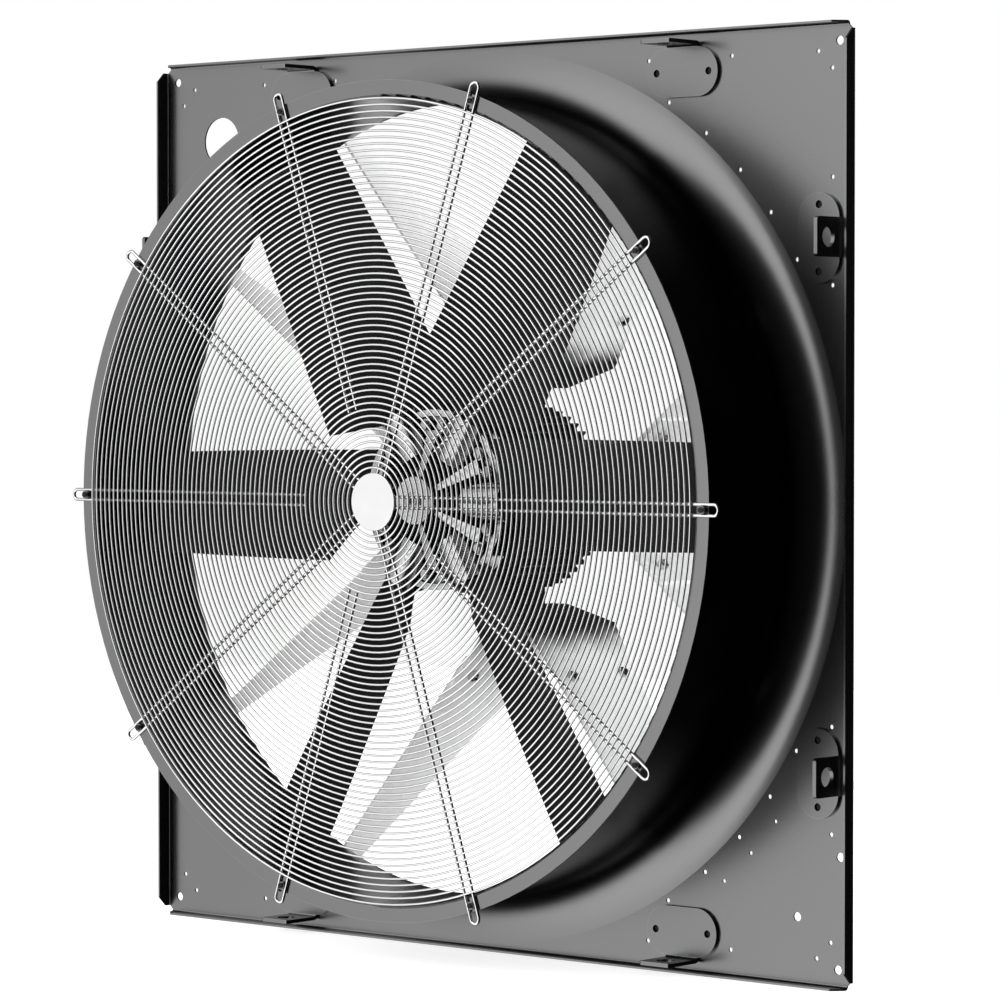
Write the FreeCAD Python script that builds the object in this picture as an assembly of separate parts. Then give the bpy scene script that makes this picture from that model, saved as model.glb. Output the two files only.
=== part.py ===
"""Marine axial fan on a square wall plate.

A plate with folded edges carries a drawn inlet and a short duct nozzle. A wire guard closes the
nozzle. A six-blade impeller in a clamped two-part hub turns on the shaft of an air-over motor,
which hangs in four V brackets on eight sheet arms behind the plate.

X points right, Y along the fan axis from the guard towards the motor, Z up, in millimetres.
The origin is the centre of the plate's rear face, in the middle of its four corner holes.
"""
import FreeCAD, Part
import math
import os
from FreeCAD import Vector

# Duct: drawn inlet and nozzle
DUCT_R = 627.0
SHEET = 3.0
BELL_FILLET = 80.0
NOZZLE_REACH = 267.0
RIM_WIDTH = 28.0
RIM_BEND_INNER_R = 3.0

# Wall plate
PLATE_MARGIN = 15.0
FOLD_DEPTH = 26.0
FOLD_INNER_R = 3.0
FOLD_END_SQUARE = 4.0
CORNER_RELIEF = 6.0
CORNER_HOLE_EDGE = 29.0
CORNER_HOLE_D = 14.0
CABLE_HOLE_EDGE = 132.5
CABLE_HOLE_D = 80.0
SMALL_HOLE_D = 7.0
CORNER_PAIR_EDGES = (43.0, 69.0)
SIDE_HOLE_EDGE = 42.0
SIDE_HOLES_FROM_LUG = (-71.0, 91.0)
BELL_HOLE_OUT = 10.0
BELL_HOLE_STEP = 7.0
BELL_HOLES_PER_CORNER = 5
BOX_HOLE_OUT = 42.0
BOX_HOLE_STEP = 5.3
BOX_HOLE_D = 6.0
BOX_HOLES = 3
DRAIN_HOLE_D = 14.0
DRAIN_HOLE_EDGES = ((105.0, 103.0), (25.0, 199.0))

# Wire guard
RING_COUNT = 58
RING_WIRE_D = 3.6
RING_OUTER_GAP = 0.6
RING_START_GAP = 8.5
RING_SIDES = 6
SPOKE_COUNT = 10
SPOKE_WIRE_D = 5.0
SPOKE_LEG_GAP = 16.5
SPOKE_OVERHANG = 19.0
SPOKE_UNDER_DISC = 17.0
SHORT_SPOKE_START_R = 148.0
GUARD_DISC_D = 90.0
GUARD_DISC_T = 3.0
GUARD_DISC_EDGE_R = 1.0
GUARD_SCREW_D = 6.0
GUARD_SCREW_AF = 10.0
GUARD_SCREW_HEAD_T = 4.0
GUARD_SCREW_FLANGE_D = 13.0
GUARD_SCREW_FLANGE_T = 1.4
GUARD_SCREW_END = 3.0
GUARD_NUT_T = 5.0
WELD_GAP = 0.02

# Lifting and fixing lugs
LUG_SHEET = 6.0
LUG_EDGE = 63.0
LUG_BELL_GAP = 11.4
LUG_BASE_WIDTH = 76.0
LUG_BASE_LENGTH = 136.0
LUG_HOLE_PITCH = 101.0
LUG_BEND_INNER_R = 3.0
LUG_TAB_OUT = 47.0
LUG_TAB_WIDTH = 60.0
LUG_TAB_REACH = 77.0
LUG_TAB_CORNER = 5.0
LUG_EYE_D = 30.0
LUG_EYE_FROM_END = 28.5
LUG_BOLT_D = 12.0
LUG_BOLT_AF = 19.0
LUG_BOLT_HEAD_T = 7.5
LUG_BOLT_RECESS = 1.5

# Motor support
ARM_SHEET = 4.0
ARM_FRONT_OUTER = 26.0
ARM_FRONT_INNER = 46.0
ARM_REAR_OUTER = 64.0
ARM_REAR_KNEE = 236.0
ARM_REAR_INNER = 242.0
ARM_KNEE = 430.0
ARM_FREE_LENGTH = 510.0
ARM_LAP_LENGTH = 70.0
ARM_FOOT_RAMP = 45.0
ARM_FOOT_CORNER = 12.0
BRACKET_SHEET = 4.0
BRACKET_FLAT = 41.0
BRACKET_BEND_INNER_R = 4.0
BRACKET_REAR = 268.0
BRACKET_REAR_AT_PAD = 178.0
BRACKET_PEAK_OUT = 33.0
ARM_BOLT_D = 10.0
ARM_BOLT_AF = 17.0
ARM_BOLT_HEAD_T = 6.4
ARM_BOLT_END = 4.0
ARM_BOLT_EDGE = 32.0
ARM_NUT_T = 8.0

# Motor
MOTOR_FRONT = -50.0
MOTOR_REAR = 122.0
MOTOR_BODY_R = 133.0
SHELL_T = 9.0
FIN_COUNT = 48
FIN_HEIGHT = 17.0
FIN_T = 3.5
FIN_END_GAP = 5.0
PAD_COUNT = 4
PAD_HEIGHT = 43.0
PAD_WIDTH = 44.0
PAD_LENGTH = 68.0
PAD_END_GAP = 6.0
PAD_BOLT_D = 12.0
PAD_BOLT_AF = 19.0
PAD_BOLT_HEAD_T = 7.5
PAD_BOLT_PITCH = 44.0
PAD_BOLT_DEPTH = 18.0
SHIELD_T = 14.0
SHIELD_FLANGE_T = 7.0
SHIELD_STEP = 14.0
SHIELD_BOSS_WALL = 16.0
SHIELD_BOLT_D = 8.0
SHIELD_BOLT_AF = 13.0
SHIELD_BOLT_HEAD_T = 5.3
SHIELD_BOLT_DEPTH = 16.0
SHIELD_BOLT_OUT = 4.0
SHIELD_BOLT_ANGLES = (22.0, 158.0, 202.0, 338.0)
SHIELD_EAR_R = 11.0
REAR_DOME = 26.0
REAR_DOME_STEP = 25.0
TERMINAL_ANGLE = 45.0
TERMINAL_SEAT_HEIGHT = 20.0
TERMINAL_WIDTH = 104.0
TERMINAL_LENGTH = 96.0
TERMINAL_HEIGHT = 54.0
TERMINAL_WALL = 4.0
TERMINAL_CORNER_R = 10.0
TERMINAL_LID_T = 8.0
TERMINAL_LID_EDGE_R = 2.6
GLAND_D = 32.0
GLAND_BORE_D = 16.0
GLAND_LENGTH = 34.0
GLAND_HEX_AF = 36.0
GLAND_HEX_T = 10.0
GLAND_NUT_AT = 17.0

# Shaft, bearings and core
SHAFT_D = 42.0
SHAFT_STEP = 1.5
SHAFT_SHOULDER = 7.5
SHAFT_TAIL_ROOM = 6.0
SHAFT_NECK_GAP = 3.0
BEARING_WIDTH = 25.0
BEARING_SECTION = 27.5
BEARING_BALLS = 8
BEARING_BALL_D = 16.0
BEARING_RACE_GAP = 8.0
BEARING_COVER_T = 4.0
BEARING_SHOULDER = 7.0
BALL_INNER_GAP = 0.05
BALL_OUTER_GAP = 0.25
CORE_R = 82.0
CORE_LENGTH = 96.0
AIR_GAP = 0.8
WINDING_GAP = 7.0
WINDING_WALL = 24.0
WINDING_REACH = 18.0
KEY_WIDTH = 12.0
KEY_HEIGHT = 8.0
KEY_DEPTH = 5.0
KEY_LENGTH = 70.0
KEY_INSET = 8.0

# Impeller
BLADE_COUNT = 6
BLADE_PLANE = -117.0
BLADE_PITCH = 36.2
BLADE_TIP_PITCH = 19.8
BLADE_CHORD = 215.6
BLADE_TIP_CHORD = 173.0
BLADE_SETBACK = 13.7
BLADE_STATIONS = 4
BLADE_THICK = 12.0
BLADE_TIP_THICK = 8.0
BLADE_EDGE = 2.5
BLADE_CAMBER = 9.0
TIP_GAP = 9.0
NECK_GAP = 7.0
NECK_LENGTH = 22.0
NECK_EDGE_ARC = 40.0
ROOT_D = 44.0
ROOT_FLANGE_STEP = 5.0
ROOT_FLANGE_T = 12.0
ROOT_FLANGE_INSET = 43.0
ROOT_TAIL = 16.0
ROOT_GAP = 0.2
HUB_R = 143.0
HUB_WEB_T = 14.0
HUB_RIM_T = 24.0
HUB_RIM_WIDTH = 12.0
HUB_CONE_R = 74.0
HUB_FRONT_BOSS_T = 55.0
HUB_REAR_BOSS_T = 28.0
HUB_NOSE_WALL = 2.5
HUB_RIB_T = 7.0
HUB_RIB_STEP = 9.0
HUB_RIB_SINK = 2.0
SOCKET_WALL = 8.0
SOCKET_OUT = 6.0
SOCKET_START_R = 62.0
HUB_BOLT_D = 8.0
HUB_BOLT_AF = 13.0
HUB_BOLT_HEAD_T = 5.3
HUB_BOLT_EDGE = 24.0
HUB_BOLT_BESIDE = 8.7
BUSH_WALL = 14.0
BUSH_FLANGE_STEP = 20.0
BUSH_FLANGE_T = 12.0
END_WASHER_T = 7.0
END_WASHER_CLAMP = 2.0
END_SCREW_D = 16.0
END_SCREW_AF = 24.0
END_SCREW_HEAD_T = 8.0
END_SCREW_LENGTH = 36.0

# Clearances
HOLE_GAP = 0.3
FIT_GAP = 0.02
BOLT_END_GAP = 2.0
OVERRUN = 1.0
TINY = 1e-6

# Places on the duct and the plate
DUCT_OUTER_R = DUCT_R + SHEET
BELL_R = DUCT_OUTER_R + BELL_FILLET
BELL_END = -SHEET - BELL_FILLET
RIM_FACE = -NOZZLE_REACH
RIM_BEND_R = RIM_BEND_INNER_R + SHEET
RIM_OUTER_R = DUCT_R + RIM_WIDTH
HALF_SIDE = BELL_R + PLATE_MARGIN
FOLD_R = FOLD_INNER_R + SHEET
FOLD_HALF_RUN = HALF_SIDE - FOLD_R - CORNER_RELIEF

# Places on the guard
GUARD_SCREW_R = (DUCT_R + RIM_BEND_R + SHEET + RIM_OUTER_R) / 2
SPOKE_PLANE = RIM_FACE - SPOKE_WIRE_D / 2 - WELD_GAP
SPOKE_FRONT = SPOKE_PLANE - SPOKE_WIRE_D / 2 - WELD_GAP
RING_PLANE = SPOKE_FRONT - RING_WIRE_D / 2
RING_INNER_R = GUARD_DISC_D / 2 + RING_START_GAP
RING_OUTER_R = DUCT_R - RING_OUTER_GAP

# Places on the motor
SHELL_BORE_R = MOTOR_BODY_R - SHELL_T
SHELL_MIDDLE_R = MOTOR_BODY_R - SHELL_T / 2
MOTOR_MIDDLE = (MOTOR_FRONT + MOTOR_REAR) / 2
FIN_R = MOTOR_BODY_R + FIN_HEIGHT
PAD_R = MOTOR_BODY_R + PAD_HEIGHT
PAD_FRONT = MOTOR_REAR - PAD_END_GAP - PAD_LENGTH
TERMINAL_SEAT_R = MOTOR_BODY_R + TERMINAL_SEAT_HEIGHT
SHIELD_BOLT_R = MOTOR_BODY_R + SHIELD_BOLT_OUT
BEARING_BORE_R = SHAFT_D / 2 + SHAFT_STEP
BEARING_OUTER_R = BEARING_BORE_R + BEARING_SECTION
SHIELD_BOSS_R = BEARING_OUTER_R + SHIELD_BOSS_WALL
SHAFT_BODY_R = BEARING_BORE_R + SHAFT_SHOULDER
FRONT_BEARING = MOTOR_FRONT - SHIELD_T + BEARING_COVER_T
REAR_BEARING = MOTOR_REAR + SHIELD_T - BEARING_COVER_T - BEARING_WIDTH
CORE_FRONT = MOTOR_MIDDLE - CORE_LENGTH / 2
CORE_REAR = MOTOR_MIDDLE + CORE_LENGTH / 2

# Places on the lugs and the motor support
LUG_BASE_AT = HALF_SIDE - LUG_EDGE
LUG_END_R = LUG_BASE_WIDTH / 2
LUG_HALF_STRAIGHT = LUG_BASE_LENGTH / 2 - LUG_END_R
LUG_INNER_END = math.sqrt((BELL_R + LUG_BELL_GAP + LUG_END_R) ** 2 - LUG_BASE_AT ** 2)
LUG_OFFSET = LUG_INNER_END + LUG_HALF_STRAIGHT
LUG_TAB_FACE = LUG_BASE_AT + LUG_TAB_OUT
ARM_RUN = Vector(PAD_R - LUG_BASE_AT, 0, BRACKET_FLAT / 2 - LUG_OFFSET)
ARM_DIR = Vector(ARM_RUN).normalize()
ARM_INSIDE = Vector(-ARM_DIR.z, 0, ARM_DIR.x)
BRACKET_FRONT = PAD_FRONT

# Places on the impeller
BLADE_TIP_R = DUCT_R - TIP_GAP
BLADE_NECK_R = HUB_R + NECK_GAP
BLADE_FULL_R = BLADE_NECK_R + NECK_LENGTH
ROOT_FLANGE_R = HUB_R - ROOT_FLANGE_INSET
ROOT_START_R = ROOT_FLANGE_R - ROOT_TAIL
ROOT_FLANGE_D = ROOT_D + 2 * ROOT_FLANGE_STEP
SOCKET_R = ROOT_FLANGE_D / 2 + SOCKET_WALL
SOCKET_END_R = HUB_R + SOCKET_OUT
HUB_BOLT_R = HUB_R - HUB_BOLT_EDGE
HUB_REAR_FACE = BLADE_PLANE + HUB_REAR_BOSS_T
BUSH_R = SHAFT_D / 2 + BUSH_WALL
BUSH_FRONT = BLADE_PLANE - HUB_FRONT_BOSS_T
BUSH_REAR = HUB_REAR_FACE + BUSH_FLANGE_T
BUSH_FLANGE_R = BUSH_R + BUSH_FLANGE_STEP
HUB_NOSE_R = BUSH_R + HUB_NOSE_WALL
SHAFT_END = BUSH_FRONT + END_WASHER_CLAMP
KEY_START = SHAFT_END + KEY_INSET

X_AXIS = Vector(1, 0, 0)
Y_AXIS = Vector(0, 1, 0)
Z_AXIS = Vector(0, 0, 1)
CENTRE = Vector(0, 0, 0)


# Shapes that repeat

def cylinder(radius, length, start, direction=Y_AXIS):
    """Solid rod from start along direction."""
    return Part.makeCylinder(radius, length, start, direction)


def drill(diameter, depth, face, direction=Y_AXIS):
    """Cutter for a hole from a face to a depth, running past both ends."""
    axis = Vector(direction).normalize()
    return cylinder(diameter / 2, depth + 2 * OVERRUN, face - axis * OVERRUN, axis)


def blind_drill(diameter, depth, face, direction=Y_AXIS):
    """Cutter for a hole from a face that ends at its depth."""
    axis = Vector(direction).normalize()
    return cylinder(diameter / 2, depth + OVERRUN, face - axis * OVERRUN, axis)


def tube(outer, inner, y0, y1):
    """Ring about the fan axis between two planes."""
    start = Vector(0, y0, 0)
    return cylinder(outer, y1 - y0, start).cut(cylinder(inner, y1 - y0, start))


def hexagon(across_flats, length, start, direction=Y_AXIS):
    """Hexagonal prism from start along direction."""
    axis = Vector(direction).normalize()
    side = axis.cross(min((X_AXIS, Z_AXIS), key=lambda other: abs(axis.dot(other)))).normalize()
    up = axis.cross(side)
    corner = across_flats / math.sqrt(3)
    turns = [math.radians(60 * index) for index in range(6)]
    points = [start + side * (corner * math.cos(turn)) + up * (corner * math.sin(turn)) for turn in turns]
    return polygon_prism(points, axis * length)


def polygon_prism(points, vector):
    """Prism on a closed outline of straight edges."""
    return Part.Face(Part.makePolygon(points + [points[0]])).extrude(vector)


def line(a, b):
    """Straight profile edge between two points of the XY plane."""
    return Part.LineSegment(Vector(a[0], a[1], 0), Vector(b[0], b[1], 0)).toShape()


def quarter_arc(centre, radius, start):
    """Quarter circle of a profile in the XY plane, counter-clockwise from an angle."""
    spots = []
    for angle in (start, start + 45, start + 90):
        turn = math.radians(angle)
        spots.append(Vector(centre[0] + radius * math.cos(turn), centre[1] + radius * math.sin(turn), 0))
    return Part.Arc(*spots).toShape()


def turned(edges):
    """Solid of revolution about the fan axis from a closed profile in the XY plane."""
    return Part.Face(Part.Wire(edges)).revolve(CENTRE, Y_AXIS, 360)


def turned_polygon(points):
    """Solid of revolution from straight profile edges given as radius and Y."""
    closed = list(points) + [points[0]]
    return turned([line(a, b) for a, b in zip(closed, closed[1:])])


def spun(shape, angle):
    """Copy turned about the fan axis, counter-clockwise as seen from the guard."""
    copy = shape.copy()
    copy.rotate(CENTRE, Y_AXIS, -angle)
    return copy


def polar(radius, y, angle):
    """Point at a radius and an angle from +X towards +Z."""
    turn = math.radians(angle)
    return Vector(radius * math.cos(turn), y, radius * math.sin(turn))


def hex_bolt(diameter, across_flats, head_t, length, seat, direction):
    """Bolt with its head before the seat and its shank along direction."""
    axis = Vector(direction).normalize()
    head = hexagon(across_flats, head_t, seat - axis * head_t, axis)
    return head.fuse(cylinder(diameter / 2, length, seat, axis)).removeSplitter()


def hex_nut(bore, across_flats, thickness, seat, direction):
    """Nut whose near face is on the seat."""
    body = hexagon(across_flats, thickness, seat, direction)
    return body.cut(drill(bore + 2 * FIT_GAP, thickness, seat, direction))


def mirrored(shape, *normals):
    """Copy mirrored in one plane through the centre after another."""
    for normal in normals:
        shape = shape.mirror(CENTRE, normal)
    return shape


def eight_ways(shape):
    """The shape of the upper right-hand side, mirrored to all eight places, by name."""
    diagonal = Vector(1, 0, -1)
    places = {}
    for level, flip in (("upper", []), ("lower", [Z_AXIS])):
        places["right_" + level] = mirrored(shape, *flip)
        places["left_" + level] = mirrored(shape, *flip, X_AXIS)
    for level, flip in (("top", []), ("bottom", [Z_AXIS])):
        places[level + "_right"] = mirrored(shape, diagonal, *flip)
        places[level + "_left"] = mirrored(shape, diagonal, *flip, X_AXIS)
    return places


# Wall plate with drawn inlet

def plate_fold():
    """Right-hand folded edge: quarter bend and a leg with cut ends."""
    centre = (HALF_SIDE - FOLD_R, -FOLD_R)
    bend = Part.Face(Part.Wire([
        quarter_arc(centre, FOLD_R, 0),
        line((centre[0], 0), (centre[0], -SHEET)),
        quarter_arc(centre, FOLD_INNER_R, 0),
        line((HALF_SIDE - SHEET, -FOLD_R), (HALF_SIDE, -FOLD_R)),
    ]))
    bend.translate(Z_AXIS * -FOLD_HALF_RUN)
    bend = bend.extrude(Z_AXIS * (2 * FOLD_HALF_RUN))
    leg_x = HALF_SIDE - SHEET
    square_y = -FOLD_R - FOLD_END_SQUARE
    cut_z = FOLD_HALF_RUN - (FOLD_DEPTH + square_y)
    leg = polygon_prism([
        Vector(leg_x, -FOLD_R, -FOLD_HALF_RUN),
        Vector(leg_x, -FOLD_R, FOLD_HALF_RUN),
        Vector(leg_x, square_y, FOLD_HALF_RUN),
        Vector(leg_x, -FOLD_DEPTH, cut_z),
        Vector(leg_x, -FOLD_DEPTH, -cut_z),
        Vector(leg_x, square_y, -FOLD_HALF_RUN),
    ], X_AXIS * SHEET)
    return bend.fuse(leg)


def corner_holes(sx, sz):
    """Diameter and X, Z centre of the holes round one corner of the plate."""
    corner = HALF_SIDE - CORNER_HOLE_EDGE
    near, far = [HALF_SIDE - edge for edge in CORNER_PAIR_EDGES]
    side = HALF_SIDE - SIDE_HOLE_EDGE
    holes = [(CORNER_HOLE_D, sx * corner, sz * corner)]
    holes += [(SMALL_HOLE_D, sx * near, sz * far), (SMALL_HOLE_D, sx * far, sz * near)]
    for step in SIDE_HOLES_FROM_LUG:
        along = LUG_OFFSET + step
        holes += [(SMALL_HOLE_D, sx * side, sz * along), (SMALL_HOLE_D, sx * along, sz * side)]
    middle = (BELL_HOLES_PER_CORNER - 1) / 2
    for index in range(BELL_HOLES_PER_CORNER):
        spot = polar(BELL_R + BELL_HOLE_OUT, 0, 45 + (index - middle) * BELL_HOLE_STEP)
        holes.append((SMALL_HOLE_D, sx * spot.x, sz * spot.z))
    return holes


def plate_holes():
    """Diameter and X, Z centre of every hole through the flat of the plate."""
    holes = []
    for sx in (-1, 1):
        for sz in (-1, 1):
            holes += corner_holes(sx, sz)
    middle = (BOX_HOLES - 1) / 2
    for index in range(BOX_HOLES):
        spot = polar(BELL_R + BOX_HOLE_OUT, 0, -45 + (index - middle) * BOX_HOLE_STEP)
        holes.append((BOX_HOLE_D, spot.x, spot.z))
    for edge_x, edge_z in DRAIN_HOLE_EDGES:
        holes.append((DRAIN_HOLE_D, HALF_SIDE - edge_x, edge_z - HALF_SIDE))
    cable = HALF_SIDE - CABLE_HOLE_EDGE
    holes.append((CABLE_HOLE_D, -cable, cable))
    for x, z in lug_hole_centres():
        holes.append((LUG_BOLT_D + 2 * HOLE_GAP, x, z))
    return holes


def lug_hole_centres():
    """X, Z centres of the two bolt holes of each lug."""
    places = []
    for step in (-LUG_HOLE_PITCH / 2, LUG_HOLE_PITCH / 2):
        along = LUG_OFFSET + step
        for sx in (-1, 1):
            for sz in (-1, 1):
                places += [(sx * LUG_BASE_AT, sz * along), (sx * along, sz * LUG_BASE_AT)]
    return places


def wall_plate():
    """Flat with its drawn inlet, four folds and all its holes."""
    flat_half = HALF_SIDE - FOLD_R
    outline = []
    for sx, sz in ((1, 1), (-1, 1), (-1, -1), (1, -1)):
        pair = [Vector(sx * flat_half, -SHEET, sz * FOLD_HALF_RUN),
                Vector(sx * FOLD_HALF_RUN, -SHEET, sz * flat_half)]
        outline += pair if sx == sz else pair[::-1]
    plate = polygon_prism(outline, Y_AXIS * SHEET)
    plate = plate.cut(drill(2 * BELL_R, SHEET, Vector(0, -SHEET, 0)))
    fold = plate_fold()
    for index in range(4):
        plate = plate.fuse(spun(fold, 90 * index))
    centre = (BELL_R, BELL_END)
    bell = turned([
        quarter_arc(centre, BELL_FILLET + SHEET, 90),
        line((DUCT_R, BELL_END), (DUCT_OUTER_R, BELL_END)),
        quarter_arc(centre, BELL_FILLET, 90),
        line((BELL_R, -SHEET), (BELL_R, 0)),
    ])
    plate = plate.fuse(bell).removeSplitter()
    cutters = [drill(diameter, SHEET, Vector(x, -SHEET, z)) for diameter, x, z in plate_holes()]
    return plate.cut(Part.makeCompound(cutters))


def nozzle_ring():
    """Rolled duct with its front edge turned outwards into the guard's seat."""
    bend = (DUCT_R + RIM_BEND_R, RIM_FACE + RIM_BEND_R)
    rim_back = RIM_FACE + SHEET
    ring = turned([
        line((DUCT_R, BELL_END), (DUCT_R, bend[1])),
        quarter_arc(bend, RIM_BEND_R, 180),
        line((bend[0], RIM_FACE), (RIM_OUTER_R, RIM_FACE)),
        line((RIM_OUTER_R, RIM_FACE), (RIM_OUTER_R, rim_back)),
        line((RIM_OUTER_R, rim_back), (bend[0], rim_back)),
        quarter_arc(bend, RIM_BEND_INNER_R, 180),
        line((DUCT_OUTER_R, bend[1]), (DUCT_OUTER_R, BELL_END)),
        line((DUCT_OUTER_R, BELL_END), (DUCT_R, BELL_END)),
    ])
    cutters = [drill(GUARD_SCREW_D + 2 * HOLE_GAP, SHEET, polar(GUARD_SCREW_R, RIM_FACE, angle))
               for angle in spoke_angles()]
    return ring.cut(Part.makeCompound(cutters))


# Wire guard

def spoke_angles():
    return [index * 360 / SPOKE_COUNT for index in range(SPOKE_COUNT)]


def guard_rings():
    """Concentric rings of wire, each turned from a section with flat sides."""
    step = (RING_OUTER_R - RING_INNER_R) / (RING_COUNT - 1)
    wire_r = RING_WIRE_D / 2
    section = [polar(wire_r, 0, index * 360 / RING_SIDES) for index in range(RING_SIDES)]
    rings = []
    for index in range(RING_COUNT):
        middle = RING_INNER_R + index * step
        rings.append(turned_polygon([(middle + spot.z, RING_PLANE + spot.x) for spot in section]))
    return Part.makeCompound(rings)


def spoke(start_r):
    """One wire bent into a U, its closed end outwards along +X."""
    half = SPOKE_LEG_GAP / 2
    end_r = RIM_OUTER_R + SPOKE_OVERHANG
    ends = [Vector(start_r, SPOKE_PLANE, side * half) for side in (-1, 1)]
    bends = [Vector(end_r - half, SPOKE_PLANE, side * half) for side in (-1, 1)]
    path = Part.Wire([
        Part.LineSegment(ends[0], bends[0]).toShape(),
        Part.Arc(bends[0], Vector(end_r, SPOKE_PLANE, 0), bends[1]).toShape(),
        Part.LineSegment(bends[1], ends[1]).toShape(),
    ])
    section = Part.Wire(Part.Circle(ends[0], X_AXIS, SPOKE_WIRE_D / 2).toShape())
    return path.makePipeShell([section], True, False)


def guard_spokes():
    """Every second spoke runs under the centre disc, the others stop short of it."""
    kinds = [spoke(GUARD_DISC_D / 2 - SPOKE_UNDER_DISC), spoke(SHORT_SPOKE_START_R)]
    return Part.makeCompound([spun(kinds[index % 2], angle)
                              for index, angle in enumerate(spoke_angles())])


def guard_centre_disc():
    """Pressed disc over the inner ends of the long spokes."""
    front = SPOKE_FRONT - GUARD_DISC_T
    disc = cylinder(GUARD_DISC_D / 2, GUARD_DISC_T, Vector(0, front, 0))
    front_edge = [edge for edge in disc.Edges if abs(edge.BoundBox.YMax - front) < TINY]
    return disc.makeFillet(GUARD_DISC_EDGE_R, front_edge)


def guard_screws():
    """Flange-head screws over the spoke loops."""
    length = RIM_FACE + SHEET + GUARD_NUT_T + GUARD_SCREW_END - SPOKE_FRONT
    screws = []
    for angle in spoke_angles():
        seat = polar(GUARD_SCREW_R, SPOKE_FRONT, angle)
        screw = hex_bolt(GUARD_SCREW_D, GUARD_SCREW_AF, GUARD_SCREW_HEAD_T, length, seat, Y_AXIS)
        flange = cylinder(GUARD_SCREW_FLANGE_D / 2, GUARD_SCREW_FLANGE_T, seat, -Y_AXIS)
        screws.append(screw.fuse(flange).removeSplitter())
    return Part.makeCompound(screws)


def guard_nuts():
    """Nuts of the guard screws behind the rim."""
    return Part.makeCompound([hex_nut(GUARD_SCREW_D, GUARD_SCREW_AF, GUARD_NUT_T,
                                      polar(GUARD_SCREW_R, RIM_FACE + SHEET, angle), Y_AXIS)
                              for angle in spoke_angles()])


# Lugs and their bolts

def lug_base(front):
    """Obround base of the upper right-hand lug."""
    base = Part.makeBox(LUG_BASE_WIDTH, LUG_SHEET, 2 * LUG_HALF_STRAIGHT,
                        Vector(LUG_BASE_AT - LUG_END_R, front, LUG_INNER_END))
    for along in (LUG_INNER_END, LUG_OFFSET + LUG_HALF_STRAIGHT):
        base = base.fuse(cylinder(LUG_END_R, LUG_SHEET, Vector(LUG_BASE_AT, front, along)))
    return base


def lug():
    """Bent lug of the upper right-hand side: base on the plate, eye plate forward."""
    back = -SHEET
    front = back - LUG_SHEET
    outer_r = LUG_BEND_INNER_R + LUG_SHEET
    bend = (LUG_TAB_FACE - outer_r, back - outer_r)
    inner_x = LUG_TAB_FACE - LUG_SHEET
    section = Part.Face(Part.Wire([
        line((LUG_BASE_AT, back), (bend[0], back)),
        quarter_arc(bend, outer_r, 0),
        line((LUG_TAB_FACE, bend[1]), (LUG_TAB_FACE, -LUG_TAB_REACH)),
        line((LUG_TAB_FACE, -LUG_TAB_REACH), (inner_x, -LUG_TAB_REACH)),
        line((inner_x, -LUG_TAB_REACH), (inner_x, bend[1])),
        quarter_arc(bend, LUG_BEND_INNER_R, 0),
        line((bend[0], front), (LUG_BASE_AT, front)),
        line((LUG_BASE_AT, front), (LUG_BASE_AT, back)),
    ]))
    section.translate(Z_AXIS * (LUG_OFFSET - LUG_TAB_WIDTH / 2))
    tab = section.extrude(Z_AXIS * LUG_TAB_WIDTH)
    corners = [edge for edge in tab.Edges
               if edge.BoundBox.YMax < TINY - LUG_TAB_REACH and edge.BoundBox.ZLength < TINY]
    shape = lug_base(front).fuse(tab.makeFillet(LUG_TAB_CORNER, corners)).removeSplitter()
    eye = Vector(inner_x, LUG_EYE_FROM_END - LUG_TAB_REACH, LUG_OFFSET)
    cutters = [drill(LUG_EYE_D, LUG_SHEET, eye, X_AXIS)]
    for step in (-LUG_HOLE_PITCH / 2, LUG_HOLE_PITCH / 2):
        spot = Vector(LUG_BASE_AT, front, LUG_OFFSET + step)
        cutters.append(drill(LUG_BOLT_D + 2 * FIT_GAP, LUG_SHEET, spot))
    return shape.cut(Part.makeCompound(cutters))


def lug_bolts():
    """Bolts from behind, through the arm's foot and the plate into the lug's tapped base."""
    length = ARM_SHEET + SHEET + LUG_SHEET - LUG_BOLT_RECESS
    return Part.makeCompound([hex_bolt(LUG_BOLT_D, LUG_BOLT_AF, LUG_BOLT_HEAD_T, length,
                                       Vector(x, ARM_SHEET, z), -Y_AXIS)
                              for x, z in lug_hole_centres()])


# Motor support

def on_arm(along, y, aside=0.0):
    """Point along the upper right-hand arm from its foot, at a depth and offset to the V's inside."""
    foot = Vector(LUG_BASE_AT, 0, LUG_OFFSET)
    return foot + ARM_DIR * along + ARM_INSIDE * aside + Y_AXIS * y


def arm_front(along):
    """Depth of the arm's front edge, inwards of the foot."""
    return ARM_FRONT_OUTER + (ARM_FRONT_INNER - ARM_FRONT_OUTER) * along / ARM_FREE_LENGTH


def arm_rear(along):
    """Depth of the arm's rear edge, which rises to a knee and then runs nearly level."""
    if along < ARM_KNEE:
        return ARM_REAR_OUTER + (ARM_REAR_KNEE - ARM_REAR_OUTER) * along / ARM_KNEE
    share = (along - ARM_KNEE) / (ARM_FREE_LENGTH - ARM_KNEE)
    return ARM_REAR_KNEE + (ARM_REAR_INNER - ARM_REAR_KNEE) * share


def arm_bolt_spots():
    """Distance along the arm and depth of the two bolts in the lap with the V bracket."""
    along = ARM_FREE_LENGTH - ARM_LAP_LENGTH / 2
    return ((along, BRACKET_FRONT + ARM_BOLT_EDGE), (along, arm_rear(along) - ARM_BOLT_EDGE))


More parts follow.
